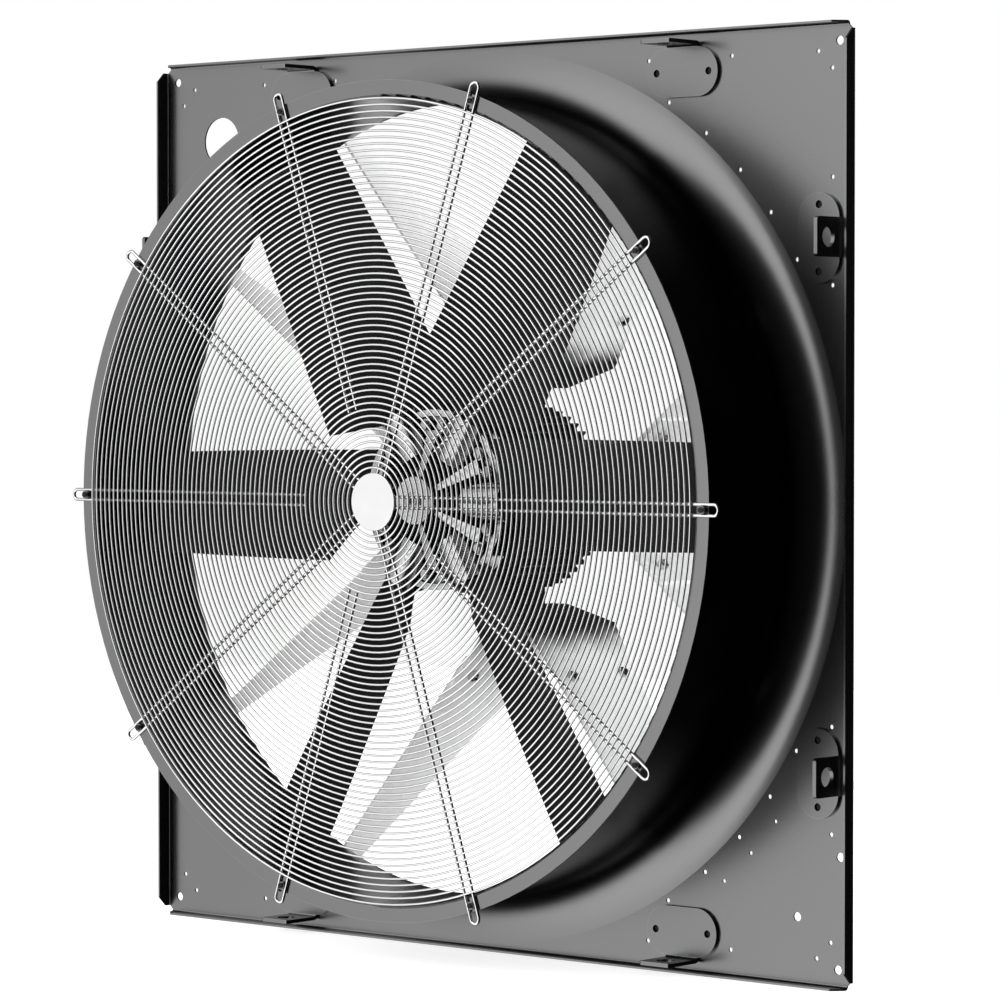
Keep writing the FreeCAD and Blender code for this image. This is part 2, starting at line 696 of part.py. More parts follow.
def arm():
    """Upper right-hand arm: foot behind the plate and a web on edge to the air stream."""
    foot = Part.makeBox(LUG_BASE_WIDTH, ARM_SHEET, LUG_BASE_LENGTH,
                        Vector(LUG_BASE_AT - LUG_END_R, 0, LUG_OFFSET - LUG_BASE_LENGTH / 2))
    upright = [edge for edge in foot.Edges if edge.BoundBox.YLength > ARM_SHEET / 2]
    foot = foot.makeFillet(ARM_FOOT_CORNER, upright)
    half_t = ARM_SHEET / 2
    ramp_end = LUG_END_R + ARM_FOOT_RAMP
    web = polygon_prism([
        on_arm(-LUG_END_R, 0, -half_t),
        on_arm(LUG_END_R, 0, -half_t),
        on_arm(ramp_end, arm_front(ramp_end), -half_t),
        on_arm(ARM_FREE_LENGTH, ARM_FRONT_INNER, -half_t),
        on_arm(ARM_FREE_LENGTH, ARM_REAR_INNER, -half_t),
        on_arm(ARM_KNEE, ARM_REAR_KNEE, -half_t),
        on_arm(-LUG_END_R, arm_rear(-LUG_END_R), -half_t),
    ], ARM_INSIDE * ARM_SHEET)
    shape = foot.fuse(web).removeSplitter()
    cutters = [drill(ARM_BOLT_D + 2 * HOLE_GAP, ARM_SHEET, on_arm(along, y, -half_t), ARM_INSIDE)
               for along, y in arm_bolt_spots()]
    for step in (-LUG_HOLE_PITCH / 2, LUG_HOLE_PITCH / 2):
        spot = Vector(LUG_BASE_AT, 0, LUG_OFFSET + step)
        cutters.append(drill(LUG_BOLT_D + 2 * HOLE_GAP, ARM_SHEET, spot))
    return shape.cut(Part.makeCompound(cutters))


def leg_meets_flat(x, aside):
    """Point where a face of the bracket's upper leg meets a plane across X."""
    at_foot = on_arm(0, 0, aside)
    return at_foot + ARM_DIR * ((x - at_foot.x) / ARM_DIR.x)


def bracket_profile(leg_start):
    """Bent sheet of the right-hand V bracket over its whole depth, before its sides are cut."""
    outside = ARM_SHEET / 2
    inside = outside + BRACKET_SHEET
    upper = [
        leg_meets_flat(PAD_R, outside),
        on_arm(leg_start, 0, outside),
        on_arm(leg_start, 0, inside),
        leg_meets_flat(PAD_R + BRACKET_SHEET, inside),
    ]
    lower = [Vector(point.x, 0, -point.z) for point in reversed(upper)]
    profile = polygon_prism(upper + lower, Y_AXIS * BRACKET_REAR)
    bend_r = BRACKET_BEND_INNER_R + BRACKET_SHEET
    for x, radius in ((PAD_R + BRACKET_SHEET, BRACKET_BEND_INNER_R), (PAD_R, bend_r)):
        bends = [edge for edge in profile.Edges
                 if edge.BoundBox.YLength > BRACKET_SHEET and abs(edge.CenterOfMass.x - x) < TINY]
        profile = profile.makeFillet(radius, bends)
    return profile


def motor_bracket():
    """Right-hand V bracket: a flat on the motor's pad and a leg inside each arm."""
    leg_start = ARM_FREE_LENGTH - ARM_LAP_LENGTH
    reach = on_arm(leg_start, 0, ARM_SHEET / 2 + BRACKET_SHEET).x
    side = polygon_prism([
        Vector(PAD_R, BRACKET_FRONT, -HALF_SIDE),
        Vector(reach, BRACKET_FRONT, -HALF_SIDE),
        Vector(reach, arm_rear(leg_start), -HALF_SIDE),
        Vector(PAD_R + BRACKET_PEAK_OUT, BRACKET_REAR, -HALF_SIDE),
        Vector(PAD_R, BRACKET_REAR_AT_PAD, -HALF_SIDE),
    ], Z_AXIS * (2 * HALF_SIDE))
    shape = bracket_profile(leg_start).common(side)
    cutters = [drill(PAD_BOLT_D + 2 * HOLE_GAP, BRACKET_SHEET, Vector(PAD_R, y, 0), X_AXIS)
               for y in pad_bolt_depths()]
    for along, y in arm_bolt_spots():
        face = on_arm(along, y, ARM_SHEET / 2)
        cutter = drill(ARM_BOLT_D + 2 * HOLE_GAP, BRACKET_SHEET, face, ARM_INSIDE)
        cutters += [cutter, mirrored(cutter, Z_AXIS)]
    return shape.cut(Part.makeCompound(cutters))


def arm_bolts():
    """Bolts through each lap, heads on the arm."""
    length = ARM_SHEET + BRACKET_SHEET + ARM_NUT_T + ARM_BOLT_END
    bolts = []
    for along, y in arm_bolt_spots():
        seat = on_arm(along, y, -ARM_SHEET / 2)
        bolt = hex_bolt(ARM_BOLT_D, ARM_BOLT_AF, ARM_BOLT_HEAD_T, length, seat, ARM_INSIDE)
        bolts += eight_ways(bolt).values()
    return Part.makeCompound(bolts)


def arm_nuts():
    """Nuts of the arm bolts, inside the V."""
    nuts = []
    for along, y in arm_bolt_spots():
        seat = on_arm(along, y, ARM_SHEET / 2 + BRACKET_SHEET)
        nuts += eight_ways(hex_nut(ARM_BOLT_D, ARM_BOLT_AF, ARM_NUT_T, seat, ARM_INSIDE)).values()
    return Part.makeCompound(nuts)


# Motor

def pad_bolt_depths():
    middle = PAD_FRONT + PAD_LENGTH / 2
    return (middle - PAD_BOLT_PITCH / 2, middle + PAD_BOLT_PITCH / 2)


def pad_angles():
    return [index * 360 / PAD_COUNT for index in range(PAD_COUNT)]


def fin_angles():
    """Angles of the fins that are clear of the pads, the terminal seat and the bolt ears."""
    def reach(half_width, radius):
        return math.degrees(math.asin((half_width + FIN_T) / radius))

    keep_clear = [(angle, reach(PAD_WIDTH / 2, FIN_R)) for angle in pad_angles()]
    keep_clear.append((90 + TERMINAL_ANGLE, reach(TERMINAL_WIDTH / 2, FIN_R)))
    keep_clear += [(angle, reach(SHIELD_EAR_R, SHIELD_BOLT_R)) for angle in SHIELD_BOLT_ANGLES]
    angles = [index * 360 / FIN_COUNT for index in range(FIN_COUNT)]
    return [angle for angle in angles
            if all(abs((angle - middle + 180) % 360 - 180) > half for middle, half in keep_clear)]


def motor_housing():
    """Finned shell with four pads for the brackets, a seat for the terminal box and bolt ears."""
    length = MOTOR_REAR - MOTOR_FRONT
    body = cylinder(MOTOR_BODY_R, length, Vector(0, MOTOR_FRONT, 0))
    fin = Part.makeBox(FIN_R - SHELL_MIDDLE_R, length - 2 * FIN_END_GAP, FIN_T,
                       Vector(SHELL_MIDDLE_R, MOTOR_FRONT + FIN_END_GAP, -FIN_T / 2))
    pad = Part.makeBox(PAD_R - SHELL_MIDDLE_R, PAD_LENGTH, PAD_WIDTH,
                       Vector(SHELL_MIDDLE_R, PAD_FRONT, -PAD_WIDTH / 2))
    seat_base = math.sqrt(SHELL_BORE_R ** 2 - (TERMINAL_WIDTH / 2) ** 2)
    seat = Part.makeBox(TERMINAL_WIDTH, TERMINAL_LENGTH, TERMINAL_SEAT_R - seat_base,
                        Vector(-TERMINAL_WIDTH / 2, MOTOR_MIDDLE - TERMINAL_LENGTH / 2, seat_base))
    added = [spun(fin, angle) for angle in fin_angles()]
    added += [spun(pad, angle) for angle in pad_angles()]
    added.append(spun(seat, TERMINAL_ANGLE))
    added += [cylinder(SHIELD_EAR_R, length, polar(SHIELD_BOLT_R, MOTOR_FRONT, angle))
              for angle in SHIELD_BOLT_ANGLES]
    cutters = [drill(2 * SHELL_BORE_R, length, Vector(0, MOTOR_FRONT, 0))]
    for y in pad_bolt_depths():
        cutter = blind_drill(PAD_BOLT_D + 2 * FIT_GAP, PAD_BOLT_DEPTH, Vector(PAD_R, y, 0), -X_AXIS)
        cutters += [spun(cutter, angle) for angle in pad_angles()]
    for angle in SHIELD_BOLT_ANGLES:
        for y, inwards in ((MOTOR_FRONT, Y_AXIS), (MOTOR_REAR, -Y_AXIS)):
            face = polar(SHIELD_BOLT_R, y, angle)
            cutters.append(blind_drill(SHIELD_BOLT_D + 2 * FIT_GAP, SHIELD_BOLT_DEPTH, face, inwards))
    return body.fuse(added).cut(Part.makeCompound(cutters)).removeSplitter()


def with_ears(shape, y0):
    """Bolt ears and their holes on an end shield."""
    spots = [polar(SHIELD_BOLT_R, y0, angle) for angle in SHIELD_BOLT_ANGLES]
    ears = [cylinder(SHIELD_EAR_R, SHIELD_FLANGE_T, spot) for spot in spots]
    cutters = [drill(SHIELD_BOLT_D + 2 * HOLE_GAP, SHIELD_FLANGE_T, spot) for spot in spots]
    return shape.fuse(ears).cut(Part.makeCompound(cutters))


def motor_front_shield():
    """Drive-end shield with its bearing seat behind and a neck round the shaft in front."""
    face = MOTOR_FRONT - SHIELD_T
    flange = MOTOR_FRONT - SHIELD_FLANGE_T
    neck_r = BEARING_BORE_R + SHAFT_NECK_GAP
    seat_r = BEARING_OUTER_R + FIT_GAP
    seat_end = FRONT_BEARING + BEARING_WIDTH
    shape = turned_polygon([
        (neck_r, face),
        (SHIELD_BOSS_R, face),
        (MOTOR_BODY_R - SHIELD_STEP, flange),
        (MOTOR_BODY_R, flange),
        (MOTOR_BODY_R, MOTOR_FRONT),
        (SHIELD_BOSS_R, MOTOR_FRONT),
        (SHIELD_BOSS_R, seat_end),
        (seat_r, seat_end),
        (seat_r, FRONT_BEARING),
        (neck_r, FRONT_BEARING),
    ])
    return with_ears(shape, flange)


def motor_rear_shield():
    """Closed non-drive-end shield, domed, with its bearing seat inside."""
    flange = MOTOR_REAR + SHIELD_FLANGE_T
    dome = MOTOR_REAR + REAR_DOME
    seat_r = BEARING_OUTER_R + FIT_GAP
    seat_end = REAR_BEARING + BEARING_WIDTH
    pocket_r = seat_r - BEARING_SHOULDER
    shape = turned_polygon([
        (0, seat_end + SHAFT_TAIL_ROOM),
        (pocket_r, seat_end + SHAFT_TAIL_ROOM),
        (pocket_r, seat_end),
        (seat_r, seat_end),
        (seat_r, REAR_BEARING),
        (SHIELD_BOSS_R, REAR_BEARING),
        (SHIELD_BOSS_R, MOTOR_REAR),
        (MOTOR_BODY_R, MOTOR_REAR),
        (MOTOR_BODY_R, flange),
        (MOTOR_BODY_R - SHIELD_STEP, flange),
        (MOTOR_BODY_R - REAR_DOME_STEP, dome),
        (0, dome),
    ])
    return with_ears(shape, MOTOR_REAR)


def shield_bolts():
    """Bolts of both end shields in the ears of the housing."""
    length = SHIELD_FLANGE_T + SHIELD_BOLT_DEPTH - BOLT_END_GAP
    bolts = []
    for angle in SHIELD_BOLT_ANGLES:
        for y, inwards in ((MOTOR_FRONT, Y_AXIS), (MOTOR_REAR, -Y_AXIS)):
            seat = polar(SHIELD_BOLT_R, y, angle) - inwards * SHIELD_FLANGE_T
            bolts.append(hex_bolt(SHIELD_BOLT_D, SHIELD_BOLT_AF, SHIELD_BOLT_HEAD_T, length, seat, inwards))
    return Part.makeCompound(bolts)


def pad_bolts():
    """Bolts through the flats of the brackets into the motor's pads."""
    length = BRACKET_SHEET + PAD_BOLT_DEPTH - BOLT_END_GAP
    bolts = []
    for y in pad_bolt_depths():
        seat = Vector(PAD_R + BRACKET_SHEET, y, 0)
        bolt = hex_bolt(PAD_BOLT_D, PAD_BOLT_AF, PAD_BOLT_HEAD_T, length, seat, -X_AXIS)
        bolts += [spun(bolt, angle) for angle in pad_angles()]
    return Part.makeCompound(bolts)


def terminal_block(inset, height, base):
    """Box on the motor's top whose upright edges are rounded, drawn in by an inset."""
    width = TERMINAL_WIDTH - 2 * inset
    length = TERMINAL_LENGTH - 2 * inset
    box = Part.makeBox(width, length, height, Vector(-width / 2, MOTOR_MIDDLE - length / 2, base))
    upright = [edge for edge in box.Edges
               if edge.BoundBox.XLength < TINY and edge.BoundBox.YLength < TINY]
    return box.makeFillet(TERMINAL_CORNER_R - inset, upright)


def gland_seat():
    return Vector(TERMINAL_WIDTH / 2, MOTOR_MIDDLE, TERMINAL_SEAT_R + TERMINAL_HEIGHT / 2)


def terminal_box():
    """Open box on its seat, with the cable entry in one side."""
    outer = terminal_block(0, TERMINAL_HEIGHT, TERMINAL_SEAT_R)
    hollow = terminal_block(TERMINAL_WALL, TERMINAL_HEIGHT, TERMINAL_SEAT_R + TERMINAL_WALL)
    entry = drill(GLAND_BORE_D, TERMINAL_WALL, gland_seat(), -X_AXIS)
    return spun(outer.cut([hollow, entry]), TERMINAL_ANGLE)


def terminal_lid():
    """Flat lid with a rounded upper edge."""
    base = TERMINAL_SEAT_R + TERMINAL_HEIGHT
    lid = terminal_block(0, TERMINAL_LID_T, base)
    rim = [edge for edge in lid.Edges if edge.BoundBox.ZMin > base + TERMINAL_LID_T - TINY]
    return spun(lid.makeFillet(TERMINAL_LID_EDGE_R, rim), TERMINAL_ANGLE)


def cable_gland():
    """Empty gland on the side of the terminal box."""
    seat = gland_seat()
    body = cylinder(GLAND_D / 2, GLAND_LENGTH, seat, X_AXIS)
    collar = hexagon(GLAND_HEX_AF, GLAND_HEX_T, seat, X_AXIS)
    nut = hexagon(GLAND_HEX_AF, GLAND_HEX_T, seat + X_AXIS * GLAND_NUT_AT, X_AXIS)
    bore = drill(GLAND_BORE_D, GLAND_LENGTH, seat, X_AXIS)
    return spun(body.fuse([collar, nut]).cut(bore).removeSplitter(), TERMINAL_ANGLE)


def stator_core():
    return tube(SHELL_BORE_R - FIT_GAP, CORE_R + AIR_GAP, CORE_FRONT, CORE_REAR)


def stator_winding():
    """End turns of the winding, one ring on each face of the core."""
    outer = SHELL_BORE_R - WINDING_GAP
    inner = outer - WINDING_WALL
    return Part.makeCompound([tube(outer, inner, CORE_FRONT - WINDING_REACH, CORE_FRONT),
                              tube(outer, inner, CORE_REAR, CORE_REAR + WINDING_REACH)])


def rotor_core():
    return tube(CORE_R, SHAFT_BODY_R + FIT_GAP, CORE_FRONT, CORE_REAR)


def motor_shaft():
    """Stepped shaft with its keyway and the tapped hole for the end screw."""
    nose = FRONT_BEARING
    tail = REAR_BEARING + BEARING_WIDTH
    shape = turned_polygon([
        (0, SHAFT_END), (SHAFT_D / 2, SHAFT_END), (SHAFT_D / 2, nose),
        (BEARING_BORE_R, nose), (BEARING_BORE_R, nose + BEARING_WIDTH),
        (SHAFT_BODY_R, nose + BEARING_WIDTH), (SHAFT_BODY_R, REAR_BEARING),
        (BEARING_BORE_R, REAR_BEARING), (BEARING_BORE_R, tail), (0, tail),
    ])
    keyway = Part.makeBox(KEY_WIDTH + 2 * FIT_GAP, KEY_LENGTH + 2 * FIT_GAP, KEY_HEIGHT,
                          Vector(-KEY_WIDTH / 2 - FIT_GAP, KEY_START - FIT_GAP, SHAFT_D / 2 - KEY_DEPTH))
    depth = END_SCREW_LENGTH - END_WASHER_T - END_WASHER_CLAMP + BOLT_END_GAP
    thread = blind_drill(END_SCREW_D + 2 * FIT_GAP, depth, Vector(0, SHAFT_END, 0))
    return shape.cut([keyway, thread])


def shaft_key():
    return Part.makeBox(KEY_WIDTH, KEY_LENGTH, KEY_HEIGHT,
                        Vector(-KEY_WIDTH / 2, KEY_START, SHAFT_D / 2 - KEY_DEPTH))


def bearing_parts(y0):
    """Outer ring, inner ring and ball set of one deep-groove bearing."""
    y1 = y0 + BEARING_WIDTH
    middle = Vector(0, (y0 + y1) / 2, 0)
    pitch_r = (BEARING_BORE_R + BEARING_OUTER_R) / 2
    ball_r = BEARING_BALL_D / 2
    outer = tube(BEARING_OUTER_R, pitch_r + BEARING_RACE_GAP / 2, y0, y1)
    outer = outer.cut(Part.makeTorus(pitch_r, ball_r + BALL_OUTER_GAP, middle, Y_AXIS))
    inner = tube(pitch_r - BEARING_RACE_GAP / 2, BEARING_BORE_R + FIT_GAP, y0, y1)
    inner = inner.cut(Part.makeTorus(pitch_r, ball_r + BALL_INNER_GAP, middle, Y_AXIS))
    balls = [Part.makeSphere(ball_r, polar(pitch_r, middle.y, index * 360 / BEARING_BALLS))
             for index in range(BEARING_BALLS)]
    return outer, inner, balls


# Impeller

def blade_angles():
    return [index * 360 / BLADE_COUNT for index in range(BLADE_COUNT)]


def blade_section(radius):
    """Cambered section at its pitch, on a foil that narrows and flattens towards the tip."""
    def between(root, tip):
        return root + (tip - root) * (radius - BLADE_FULL_R) / (BLADE_TIP_R - BLADE_FULL_R)

    half = between(BLADE_CHORD, BLADE_TIP_CHORD) / 2
    half_t = between(BLADE_THICK, BLADE_TIP_THICK) / 2
    edge = BLADE_EDGE / 2
    trail, lead = BLADE_SETBACK + half, BLADE_SETBACK - half
    trail_in, trail_out = Vector(radius, -edge, trail), Vector(radius, edge, trail)
    lead_in, lead_out = Vector(radius, -edge, lead), Vector(radius, edge, lead)
    crown = Vector(radius, BLADE_CAMBER + half_t, BLADE_SETBACK)
    hollow = Vector(radius, BLADE_CAMBER - half_t, BLADE_SETBACK)
    section = Part.Wire([
        Part.LineSegment(trail_in, trail_out).toShape(),
        Part.Arc(trail_out, crown, lead_out).toShape(),
        Part.LineSegment(lead_out, lead_in).toShape(),
        Part.Arc(lead_in, hollow, trail_in).toShape(),
    ])
    section.rotate(CENTRE, X_AXIS, between(BLADE_PITCH, BLADE_TIP_PITCH))
    return section


def neck_section(radius):
    """Round root cut into four arcs to match the four edges of the innermost section."""
    def spot(angle):
        turn = math.radians(angle - BLADE_PITCH)
        return Vector(radius, ROOT_D / 2 * math.sin(turn), ROOT_D / 2 * math.cos(turn))

    half = NECK_EDGE_ARC / 2
    ends = [-half, half, 180 - half, 180 + half, 360 - half]
    return Part.Wire([Part.Arc(spot(a), spot((a + b) / 2), spot(b)).toShape()
                      for a, b in zip(ends, ends[1:])])


def blade():
    """Twisted blade along +X, with its turned root in the hub socket."""
    step = (BLADE_TIP_R + BLADE_EDGE - BLADE_FULL_R) / (BLADE_STATIONS - 1)
    sections = [blade_section(BLADE_FULL_R + index * step) for index in range(BLADE_STATIONS)]
    foil = Part.makeLoft(sections, True, False)
    neck = Part.makeLoft([neck_section(BLADE_NECK_R), sections[0]], True, True)
    root = cylinder(ROOT_D / 2, BLADE_NECK_R - ROOT_START_R, X_AXIS * ROOT_START_R, X_AXIS)
    flange_start = X_AXIS * (ROOT_FLANGE_R - ROOT_FLANGE_T / 2)
    flange = cylinder(ROOT_FLANGE_D / 2, ROOT_FLANGE_T, flange_start, X_AXIS)
    shape = foil.fuse([neck, root, flange])
    shape.translate(Y_AXIS * BLADE_PLANE)
    sweep = cylinder(BLADE_TIP_R, 2 * BLADE_CHORD, Y_AXIS * (BLADE_PLANE - BLADE_CHORD))
    return shape.common(sweep)


def hub_bolt_angles():
    """Two bolts beside each blade socket, clear of its barrel."""
    beside = math.degrees(math.asin((SOCKET_R + HUB_BOLT_BESIDE) / HUB_BOLT_R))
    return [angle + side * beside for angle in blade_angles() for side in (-1, 1)]


def socket_barrel(side):
    """Half-round outside of one blade socket, on one side of the split."""
    start = Vector(SOCKET_START_R, BLADE_PLANE, 0)
    barrel = cylinder(SOCKET_R, SOCKET_END_R - SOCKET_START_R, start, X_AXIS)
    half_space = cylinder(BLADE_FULL_R, SOCKET_R, Y_AXIS * BLADE_PLANE, Y_AXIS * side)
    return barrel.common(half_space)


def socket_bore():
    """Cutters for a blade root and its flange."""
    bore = cylinder(ROOT_D / 2 + ROOT_GAP, HUB_R, Vector(ROOT_START_R - ROOT_GAP, BLADE_PLANE, 0), X_AXIS)
    groove_start = Vector(ROOT_FLANGE_R - ROOT_FLANGE_T / 2 - ROOT_GAP, BLADE_PLANE, 0)
    groove = cylinder(ROOT_FLANGE_D / 2 + ROOT_GAP, ROOT_FLANGE_T + 2 * ROOT_GAP, groove_start, X_AXIS)
    return [bore, groove]


def hub_half(side, boss_t, boss_r, bolt_gap):
    """Die-cast clamp half: web, rim, half-round sockets, ribs and a boss on the bush."""
    def at(depth):
        return BLADE_PLANE + side * depth

    bore = BUSH_R + FIT_GAP
    rim_r = HUB_R - HUB_RIM_WIDTH
    shape = turned_polygon([
        (bore, at(0)), (HUB_R, at(0)), (HUB_R, at(HUB_RIM_T)), (rim_r, at(HUB_RIM_T)),
        (rim_r, at(HUB_WEB_T)), (HUB_CONE_R, at(HUB_WEB_T)), (boss_r, at(boss_t)), (bore, at(boss_t)),
    ])
    rib_top = boss_t - (boss_t - HUB_WEB_T) * HUB_RIB_STEP / (HUB_CONE_R - boss_r)
    rib_r = boss_r + HUB_RIB_STEP - HUB_RIB_SINK
    rib = polygon_prism([
        Vector(rib_r, at(HUB_WEB_T), -HUB_RIB_T / 2),
        Vector(rim_r, at(HUB_WEB_T), -HUB_RIB_T / 2),
        Vector(rim_r, at(HUB_RIM_T), -HUB_RIB_T / 2),
        Vector(rib_r, at(rib_top), -HUB_RIB_T / 2),
    ], Z_AXIS * HUB_RIB_T)
    barrel = socket_barrel(side)
    half_step = 180 / BLADE_COUNT
    added = [spun(barrel, angle) for angle in blade_angles()]
    added += [spun(rib, angle + half_step) for angle in blade_angles()]
    cutters = [drill(2 * bore, boss_t, Y_AXIS * at(0), Y_AXIS * side)]
    for cutter in socket_bore():
        cutters += [spun(cutter, angle) for angle in blade_angles()]
    for angle in hub_bolt_angles():
        face = polar(HUB_BOLT_R, BLADE_PLANE, angle)
        cutters.append(drill(HUB_BOLT_D + 2 * bolt_gap, HUB_WEB_T, face, Y_AXIS * side))
    return shape.fuse(added).cut(cutters).removeSplitter()


def hub_bush():
    """Flanged bush between the shaft and the clamped hub halves."""
    inner = SHAFT_D / 2 + FIT_GAP
    bush = turned_polygon([
        (inner, BUSH_FRONT), (BUSH_R, BUSH_FRONT), (BUSH_R, HUB_REAR_FACE),
        (BUSH_FLANGE_R, HUB_REAR_FACE), (BUSH_FLANGE_R, BUSH_REAR), (inner, BUSH_REAR),
    ])
    reach = SHAFT_D / 2 - KEY_DEPTH + KEY_HEIGHT + HOLE_GAP
    keyway = Part.makeBox(KEY_WIDTH + 2 * FIT_GAP, BUSH_REAR - BUSH_FRONT + 2 * OVERRUN, reach,
                          Vector(-KEY_WIDTH / 2 - FIT_GAP, BUSH_FRONT - OVERRUN, 0))
    return bush.cut(keyway)


def hub_bolts():
    """Bolts that clamp the halves, tapped into the rear one."""
    seat_y = BLADE_PLANE - HUB_WEB_T
    return Part.makeCompound([hex_bolt(HUB_BOLT_D, HUB_BOLT_AF, HUB_BOLT_HEAD_T, 2 * HUB_WEB_T,
                                       polar(HUB_BOLT_R, seat_y, angle), Y_AXIS)
                              for angle in hub_bolt_angles()])


def end_washer():
    """Thick washer that clamps the bush on the shaft."""
    front = Y_AXIS * (BUSH_FRONT - END_WASHER_T)
    washer = cylinder(HUB_NOSE_R, END_WASHER_T, front)
    return washer.cut(drill(END_SCREW_D + 2 * HOLE_GAP, END_WASHER_T, front))


def end_screw():
    """Screw through the end washer into the shaft."""
    seat = Y_AXIS * (BUSH_FRONT - END_WASHER_T)
    return hex_bolt(END_SCREW_D, END_SCREW_AF, END_SCREW_HEAD_T, END_SCREW_LENGTH, seat, Y_AXIS)


# Assembly

def fixed_nodes():
    """Every node that stays with the wall plate, by name."""
    nodes = {
        "wall_plate": wall_plate(),
        "nozzle_ring": nozzle_ring(),
        "guard_rings": guard_rings(),
        "guard_spokes": guard_spokes(),
        "guard_centre_disc": guard_centre_disc(),
        "guard_screws": guard_screws(),
        "guard_nuts": guard_nuts(),
        "lug_bolts": lug_bolts(),
        "arm_bolts": arm_bolts(),
        "arm_nuts": arm_nuts(),
        "motor_housing": motor_housing(),
        "motor_front_shield": motor_front_shield(),
        "motor_rear_shield": motor_rear_shield(),
        "shield_bolts": shield_bolts(),
        "motor_pad_bolts": pad_bolts(),
        "terminal_box": terminal_box(),
        "terminal_box_lid": terminal_lid(),
        "cable_gland": cable_gland(),
        "stator_core": stator_core(),
        "stator_winding": stator_winding(),
    }
    for place, shape in eight_ways(lug()).items():
        nodes["lug_" + place] = shape
    for place, shape in eight_ways(arm()).items():
        nodes["arm_" + place] = shape
    bracket = motor_bracket()
    for place, angle in zip(("right", "top", "left", "bottom"), pad_angles()):
        nodes["motor_bracket_" + place] = spun(bracket, angle)
    return nodes


def turning_nodes():
    """Every node that turns with the shaft, by name."""
    nodes = {
        "rotor_core": rotor_core(),
        "motor_shaft": motor_shaft(),
        "shaft_key": shaft_key(),
        "hub_front_half": hub_half(-1, HUB_FRONT_BOSS_T, HUB_NOSE_R, HOLE_GAP),
        "hub_rear_half": hub_half(1, HUB_REAR_BOSS_T, BUSH_FLANGE_R, FIT_GAP),
        "hub_bush": hub_bush(),
        "hub_bolts": hub_bolts(),
        "shaft_end_washer": end_washer(),
        "shaft_end_screw": end_screw(),
    }
    shape = blade()
    for index, angle in enumerate(blade_angles()):
        nodes["blade_%d" % (index + 1)] = spun(shape, angle)
    return nodes


def bearing_nodes():
    """Rings of both bearings and the balls of both together, by name."""
    nodes = {}
    balls = []
    for place, y0 in (("front", FRONT_BEARING), ("rear", REAR_BEARING)):
        outer, inner, ball_set = bearing_parts(y0)
        nodes[place + "_bearing_outer_ring"] = outer
        nodes[place + "_bearing_inner_ring"] = inner
        balls += ball_set
    nodes["bearing_balls"] = Part.makeCompound(balls)
    return nodes


def main():
    os.makedirs("parts", exist_ok=True)
    nodes = {**fixed_nodes(), **turning_nodes(), **bearing_nodes()}
    for name, shape in nodes.items():
        shape.exportStep("parts/%s.step" % name)
        facts = (name, len(shape.Solids), shape.isValid(), shape.Volume)
        print("%-26s solids %3d  valid %s  volume %.0f" % facts)
    print(len(nodes), "nodes")


main()
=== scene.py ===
# %% [markdown]
# A square wall-plate axial fan, seen from its guarded outlet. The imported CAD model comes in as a
# fixed frame: every node already sits at its real place, in metres, with +Y along the fan axis
# towards the motor and +Z up. Nothing of it is moved here. It gets finishes, and a few nodes are
# replaced by pieces with finer detail.

# %% Load the frame
import math

import bpy
from mathutils import Matrix, Vector


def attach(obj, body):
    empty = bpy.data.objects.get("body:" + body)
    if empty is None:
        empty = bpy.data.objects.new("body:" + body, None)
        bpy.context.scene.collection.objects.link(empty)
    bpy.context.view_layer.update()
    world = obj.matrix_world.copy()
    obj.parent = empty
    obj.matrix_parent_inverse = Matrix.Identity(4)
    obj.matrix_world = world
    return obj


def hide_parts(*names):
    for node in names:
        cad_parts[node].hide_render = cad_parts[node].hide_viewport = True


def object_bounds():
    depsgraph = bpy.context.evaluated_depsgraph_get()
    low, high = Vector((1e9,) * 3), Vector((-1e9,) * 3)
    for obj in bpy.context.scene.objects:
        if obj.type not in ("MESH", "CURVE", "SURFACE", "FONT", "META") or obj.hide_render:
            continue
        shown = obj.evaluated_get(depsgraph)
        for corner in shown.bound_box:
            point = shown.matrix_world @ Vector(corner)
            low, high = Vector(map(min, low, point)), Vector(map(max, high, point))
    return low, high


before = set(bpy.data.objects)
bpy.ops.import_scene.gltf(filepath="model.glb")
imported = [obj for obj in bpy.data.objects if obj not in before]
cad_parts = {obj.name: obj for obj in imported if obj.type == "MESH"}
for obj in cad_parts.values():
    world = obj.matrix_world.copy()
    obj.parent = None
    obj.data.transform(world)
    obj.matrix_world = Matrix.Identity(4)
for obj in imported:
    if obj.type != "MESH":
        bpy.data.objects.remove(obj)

scene = bpy.context.scene
cad_low, cad_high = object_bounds()
bpy.ops.object.select_all(action="DESELECT")
print("CAD box, metres:", [round(v, 4) for v in cad_high - cad_low])

# %% [markdown]
# The camera stands well back to the right with a long lens, a little above the fan's axis. A long
# lens keeps the far and the near edge of the square plate almost the same height, as in the
# product picture.

# %% Camera
AZIMUTH = math.radians(40.654)
ELEVATION = math.radians(1.617)
CAMERA_DISTANCE = 6.778
CAMERA_LENS = 152.19
CAMERA_AIM = Vector((0.0160, 0.0107, -0.0029))

towards_camera = Vector((
    math.sin(AZIMUTH) * math.cos(ELEVATION),
    -math.cos(AZIMUTH) * math.cos(ELEVATION),
    math.sin(ELEVATION),
))
bpy.ops.object.camera_add(
    location=CAMERA_AIM + towards_camera * CAMERA_DISTANCE,
    rotation=(-towards_camera).to_track_quat("-Z", "Y").to_euler(),
)
camera = bpy.context.object
camera.data.lens = CAMERA_LENS
scene.camera = camera
print("camera at", [round(v, 3) for v in camera.location])

# %% [markdown]
# Nodes are wired many times below, so small helpers come first. One adds a node and fills or links
# its sockets. The others stand for the nodes used most: sums, soft steps and mixes. A Mix node has
# a set of sockets for each kind of value, and those for colours are found by their number.

# %% Node helpers
MIX_COLOUR_A = 6
MIX_COLOUR_B = 7
MIX_COLOUR_RESULT = 2


